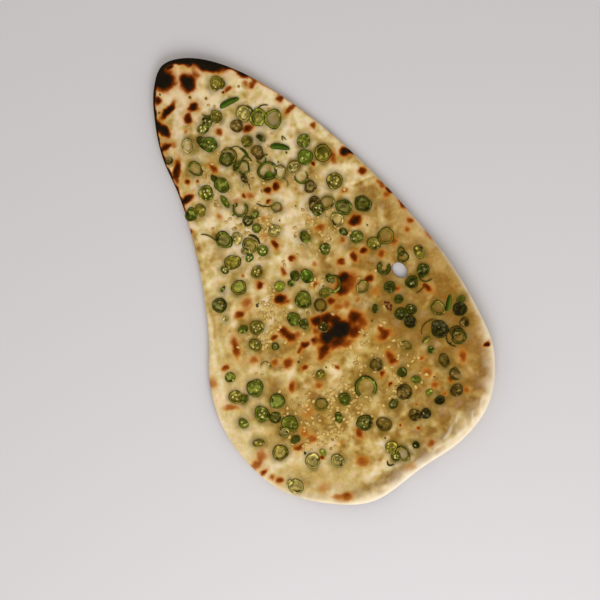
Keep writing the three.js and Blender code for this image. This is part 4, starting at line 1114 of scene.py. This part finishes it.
def chilli_slice(pieces, cx, cy, diameter, look, draw, narrow=1.0, turn=0.0, gape=0.0, gap=0.0):
    """A slice lying on the bread. With a gap it is an open ring; that and gape are in radians."""
    flesh_kind, middle = look
    radius = SLICE_SPREAD * diameter
    height = SLICE_HEIGHT + HEIGHT_BY_DIAMETER * diameter
    start = gape + gap / 2 if gap else draw.uniform(0, 2 * math.pi)
    angle = start + np.linspace(0, 2 * math.pi - gap, SLICE_SPOKES, endpoint=bool(gap))
    long_way = angle - math.radians(turn)
    lobes, twist = draw.uniform(*SLICE_LOBES), draw.uniform(0, 2 * math.pi)
    outline = narrow / np.sqrt((narrow * np.cos(long_way)) ** 2 + np.sin(long_way) ** 2)
    outline += lobes * np.cos(3 * angle + twist) + FINER_LOBES * lobes * np.cos(5 * angle - 2 * twist)
    profile = slice_profile(middle)
    share, rise, layer = (np.array(column, float)[:, None] for column in zip(*profile))
    wobble = 1 + draw.uniform(-SLICE_WOBBLE, SLICE_WOBBLE, (len(profile), 1)) * (share < WOBBLE_WITHIN)
    r = radius * share * wobble * outline
    off_x, off_y = draw.uniform(-CORE_SHIFT, CORE_SHIFT, 2) * radius
    inner = np.clip((SHIFT_WITHIN - share) / SHIFT_WITHIN, 0, 1)
    x = cx + r * np.cos(angle) + inner * off_x
    y = cy + r * np.sin(angle) + inner * off_y
    leaning = uneven(x, y, SLICE_RELIEF) + SLICE_LEAN * np.cos(angle - twist) * share
    z = (rise + leaning * (rise > LEANING_ABOVE)) * height

    skin, flesh = linear(SKIN[flesh_kind]), linear(FLESH[flesh_kind])
    own, other, of_other = MIDDLE_COLOUR[middle]
    tint = layered(layer + np.zeros_like(x), skin, flesh, own * flesh + of_other * linear(other))
    for near in septa(angle, share, twist, draw) if middle in SEPTA else ():
        z = z + SEPTUM_RISE * near * (rise > 0) * height
        tint = tint + (SEPTA[middle] * near)[..., None] * (flesh * SEPTUM_BRIGHT - tint)
    tint = tint * (1 + draw.uniform(-CORE_SHADES, CORE_SHADES) * (share < GROOVE_AT))[..., None]
    tint = tint * slice_shade(x, y, angle, share, twist, middle, draw)[..., None]
    glint = GLINT_SHARE * smoothstep(*GLINT_EDGE, uneven(x, y, GLINTS))
    glint *= (rise > GLINT_ABOVE) * (share < GLINT_WITHIN)
    tint = tint + glint[..., None] * (GLINT_BRIGHT * flesh + GLINT_WHITE - tint)

    faces = grid_faces(len(profile), SLICE_SPOKES, closed=not gap)
    if gap:
        first = [ring * SLICE_SPOKES for ring in range(len(profile) - 1)]
        faces += [first, [corner + SLICE_SPOKES - 1 for corner in reversed(first)]]
    pieces.add(x, y, settled(x, y, z, cx, cy, radius), faces, np.clip(tint, 0, 1))

    counts = {kind: draw.integers(*span) for kind, span in SEEDS_WITHIN.items()}
    count = counts.get(middle, 0)
    for number in range(count):
        way = twist + 2 * math.pi * number / count + draw.uniform(-SEED_STRAY, SEED_STRAY)
        away = radius * draw.uniform(*SEED_AWAY)
        shade = SEED_IN_DARK_FLESH if flesh_kind in DARK_FLESH else SEED_WHITE
        tint = linear(SEED_CREAM) * shade * draw.uniform(*SEED_SHADES)
        kernel(pieces, cx + away * math.cos(way), cy + away * math.sin(way), SEED_SIZE,
               draw.uniform(0, math.pi), tint, SEED_LIFT * height)


def kernel(pieces, cx, cy, size, turn, tint, lifted=0.25, tilt=0.0):
    """A seed: an egg-shaped body lying on its side, its narrow end along the turn."""
    rings, spokes = 7, 8
    along = np.cos(np.linspace(0, math.pi, rings))[:, None]
    girth = np.sin(np.linspace(0, math.pi, rings))[:, None] * (1 - KERNEL_TAPER * along)
    angle = around(spokes)
    u = along * size[0] / 2 + np.zeros(spokes)
    v = girth * np.cos(angle) * size[1] / 2
    w = girth * np.sin(angle) * size[2] / 2 + tilt * u
    x, y = placed(cx, cy, turn, u, v)
    # Painted shade: each seed's underside is darker and yellower than its top.
    upwards = np.clip(KERNEL_LIT_TOP * girth * np.sin(angle), 0, 1)
    lit = (KERNEL_UNDERSIDE_SHADE + (1 - KERNEL_UNDERSIDE_SHADE) * upwards)[..., None] ** KERNEL_UNDERSIDE_SHADE_TINT
    pieces.add(x, y, height_of_top(cx, cy) + lifted + w, tube_faces(rings, spokes), tint * lit)


def chilli_strip(pieces, cx, cy, length, direction):
    """A piece of chilli lying on its side: a bent, tapering body, flatter than it is wide."""
    rings, spokes = 18, 14
    t = np.linspace(-1, 1, rings)[:, None]
    angle = around(spokes)
    girth = STRIP_HALF_WIDTH * np.sqrt(np.maximum(0, 1 - np.abs(t) ** 3)) * (1 - STRIP_TAPER * t)
    u = t * length / 2 + np.zeros(spokes)
    v = girth * np.cos(angle) - STRIP_BEND * t**2
    w = girth * np.sin(angle) * STRIP_FLATNESS + STRIP_LIFT + uneven(u, v, STRIP_RELIEF)
    x, y = placed(cx, cy, math.radians(direction), u, v)
    striped = STRIP_SHADE + uneven(u * STRIPE_STRETCH[0], v * STRIPE_STRETCH[1], STRIPES)
    tint = linear(STRIP_GREEN) * (striped * (1 - STRIP_DARK_SIDE * np.sign(v)))[..., None]
    pieces.add(x, y, settled(x, y, w, cx, cy, STRIP_SETTLED), tube_faces(rings, spokes), tint)


def bend(t, first, over, last):
    """One coordinate along a curve that bends over its middle, and how fast it changes."""
    control = 2 * over - (first + last) / 2
    place = (1 - t) ** 2 * first + 2 * t * (1 - t) * control + t**2 * last
    return place, 2 * (1 - t) * (control - first) + 2 * t * (last - control)


def peel(pieces, ax, ay, bx, by, cx, cy, half_width, kind):
    """A thin curl of skin standing on its edge, from its first end over its middle to its last."""
    rings, spokes = 14, 8
    t = np.linspace(0, 1, rings)[:, None]
    mid_x, along_x = bend(t, ax, bx, cx)
    mid_y, along_y = bend(t, ay, by, cy)
    length = np.hypot(along_x, along_y)
    girth = np.sqrt(np.maximum(0, 1 - np.abs(2 * t - 1) ** 3))
    angle = around(spokes)
    aside = half_width * girth * np.cos(angle)
    x, y = mid_x + aside * along_y / length, mid_y - aside * along_x / length
    z = top_at(x.ravel(), y.ravel()).reshape(x.shape) + PEEL_LIFT + PEEL_HALF_HEIGHT * girth * np.sin(angle)
    skin, flesh = linear(SKIN[kind]), linear(FLESH[kind])
    tint = skin + (flesh - skin) * (0.5 + 0.5 * np.cos(angle + PEEL_FLESH_SIDE))[:, None]
    pieces.add(x, y, z, tube_faces(rings, spokes), np.tile(tint, (rings, 1)))


def toppings():
    draw = np.random.default_rng(23)
    green = chilli_material()

    for kind, table in (("disc", DISC_LOOKS), ("ring", RING_LOOKS)):
        slices, nodes = Pieces(), nodes_of(kind)
        for node, (look, narrow, turn) in zip(nodes, table):
            chilli_slice(slices, *node_place(node), look, draw, narrow, turn)
        slices.made(f"chilli_{kind}s", green, "green_chilli", *nodes)

    arcs = Pieces()
    for (*place, gape), look in zip(ARCS, ARC_LOOKS):
        chilli_slice(arcs, *place, look, draw, gape=math.radians(gape), gap=ARC_GAP)
    arcs.made("chilli_arcs", green, "green_chilli", *nodes_of("arc"))

    strips = Pieces()
    for strip in STRIPS:
        chilli_strip(strips, *strip)
    strips.made("chilli_strips", green, "green_chilli", *nodes_of("strip"))

    small = Pieces()
    for *place, look, narrow, turn in SMALL_SLICES:
        chilli_slice(small, *place, look, draw, narrow, turn)
    for *place, look, gape, gap in CURLS:
        chilli_slice(small, *place, look, draw, gape=math.radians(gape), gap=gap)
    for curl in PEELS:
        peel(small, *curl)
    for x, y, length, kind in FLECKS:
        size = (length, FLECK_WIDTH * length, FLECK_HEIGHT)
        kernel(small, x, y, size, draw.uniform(0, math.pi), FLECK_SHADE * linear(FLESH[kind]))
    small.made("small_chilli", green, "green_chilli", "naan_bread")


def sesame():
    draw = np.random.default_rng(5)
    seeds = Pieces()
    slice_x, slice_y, diameter = np.array(places_of_slices()).T
    for cx, cy, half_x, half_y, count in DRIFTS:
        spots = (1 + count // HUDDLE_SEEDS, 2)
        huddles = draw.uniform(-HUDDLES_WITHIN, HUDDLES_WITHIN, spots) * (half_x, half_y)
        for _ in range(count):
            away, angle = math.sqrt(draw.random()), 2 * math.pi * draw.random()
            turn = math.pi * draw.random()
            spread = np.array([half_x * away * math.cos(angle), half_y * away * math.sin(angle)])
            huddled = huddles[draw.integers(len(huddles))] + draw.normal(0, HUDDLE_SPREAD, 2)
            x, y = (cx, cy) + (huddled if draw.random() < HUDDLED_SHARE else spread)
            size = np.array(SESAME_SIZE) * draw.uniform(*SESAME_SIZES)
            tilt = draw.uniform(-SESAME_TILT, SESAME_TILT)
            shade = draw.choice(SESAME_SHADES, p=SESAME_SHADE_SHARES)
            at = np.array([x]), np.array([y])
            if not inside_rim(*at)[0] or from_rim(*at)[0] < SESAME_FROM_RIM:
                continue
            if from_hole(x, y) < SESAME_FROM_HOLE or scorch_at(*at, FAR_IN)[0] > SESAME_UP_TO_SCORCH:
                continue
            if (np.hypot(slice_x - x, slice_y - y) < SESAME_OVER_SLICES * diameter / 2).any():
                continue
            kernel(seeds, x, y, size, turn, shade ** np.array(SESAME_YELLOWS), SESAME_SUNK, tilt)
    seeds.made("sesame_seeds", sesame_material(), "sesame", "naan_bread")


dough = bread()
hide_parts("naan_bread")
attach(dough, "root")
toppings()
sesame()

# ---------------------------------------------------------- floor, light, camera

LOOK_AT = Vector((-0.0116, -0.0256, 0.0))
UP_IN_PICTURE = Vector((0.45373, 0.89114, 0.0))
CAMERA_HEIGHT = 1.3
PICTURE_WIDTH = 0.5232
SENSOR = 36

FLOOR_HALF = 3
FLOOR_PALE = srgb(211, 209, 211)
KEY_FROM, KEY_SIZE, KEY_POWER = Vector((-0.2, -0.8, 0.9)), 0.9, 9
KEY_COLOUR = (0.97, 0.98, 1.0)
ROOM_COLOUR, ROOM_STRENGTH = (1.0, 0.96, 0.92, 1.0), 0.62


def floor():
    corners = np.array([(-1, -1, 0), (1, -1, 0), (1, 1, 0), (-1, 1, 0)]) * FLOOR_HALF / MM
    ground = mesh_object("floor", corners, [(0, 1, 2, 3)], smooth=False)
    ground.data.materials.append(Shader("floor_paint").finish(Base_Color=FLOOR_PALE, Roughness=0.7))


def key_light():
    data = bpy.data.lights.new("key", "AREA")
    data.size = KEY_SIZE
    data.energy = KEY_POWER
    data.color = KEY_COLOUR
    lamp = bpy.data.objects.new("key", data)
    lamp.location = LOOK_AT + KEY_FROM
    lamp.rotation_euler = (-KEY_FROM).to_track_quat("-Z", "Y").to_euler()
    bpy.context.scene.collection.objects.link(lamp)


def room_light():
    world = bpy.data.worlds.new("room")
    world.use_nodes = True
    background = world.node_tree.nodes["Background"]
    background.inputs["Color"].default_value = ROOM_COLOUR
    background.inputs["Strength"].default_value = ROOM_STRENGTH
    bpy.context.scene.world = world


def camera():
    data = bpy.data.cameras.new("camera")
    data.sensor_width = SENSOR
    data.lens = SENSOR * CAMERA_HEIGHT / PICTURE_WIDTH
    view = bpy.data.objects.new("camera", data)
    view.location = LOOK_AT + Vector((0, 0, CAMERA_HEIGHT))
    view.rotation_euler = (0, 0, -math.atan2(UP_IN_PICTURE.x, UP_IN_PICTURE.y))
    bpy.context.scene.collection.objects.link(view)
    bpy.context.scene.camera = view


floor()
key_light()
room_light()
camera()
bpy.context.scene.view_settings.view_transform = "Standard"
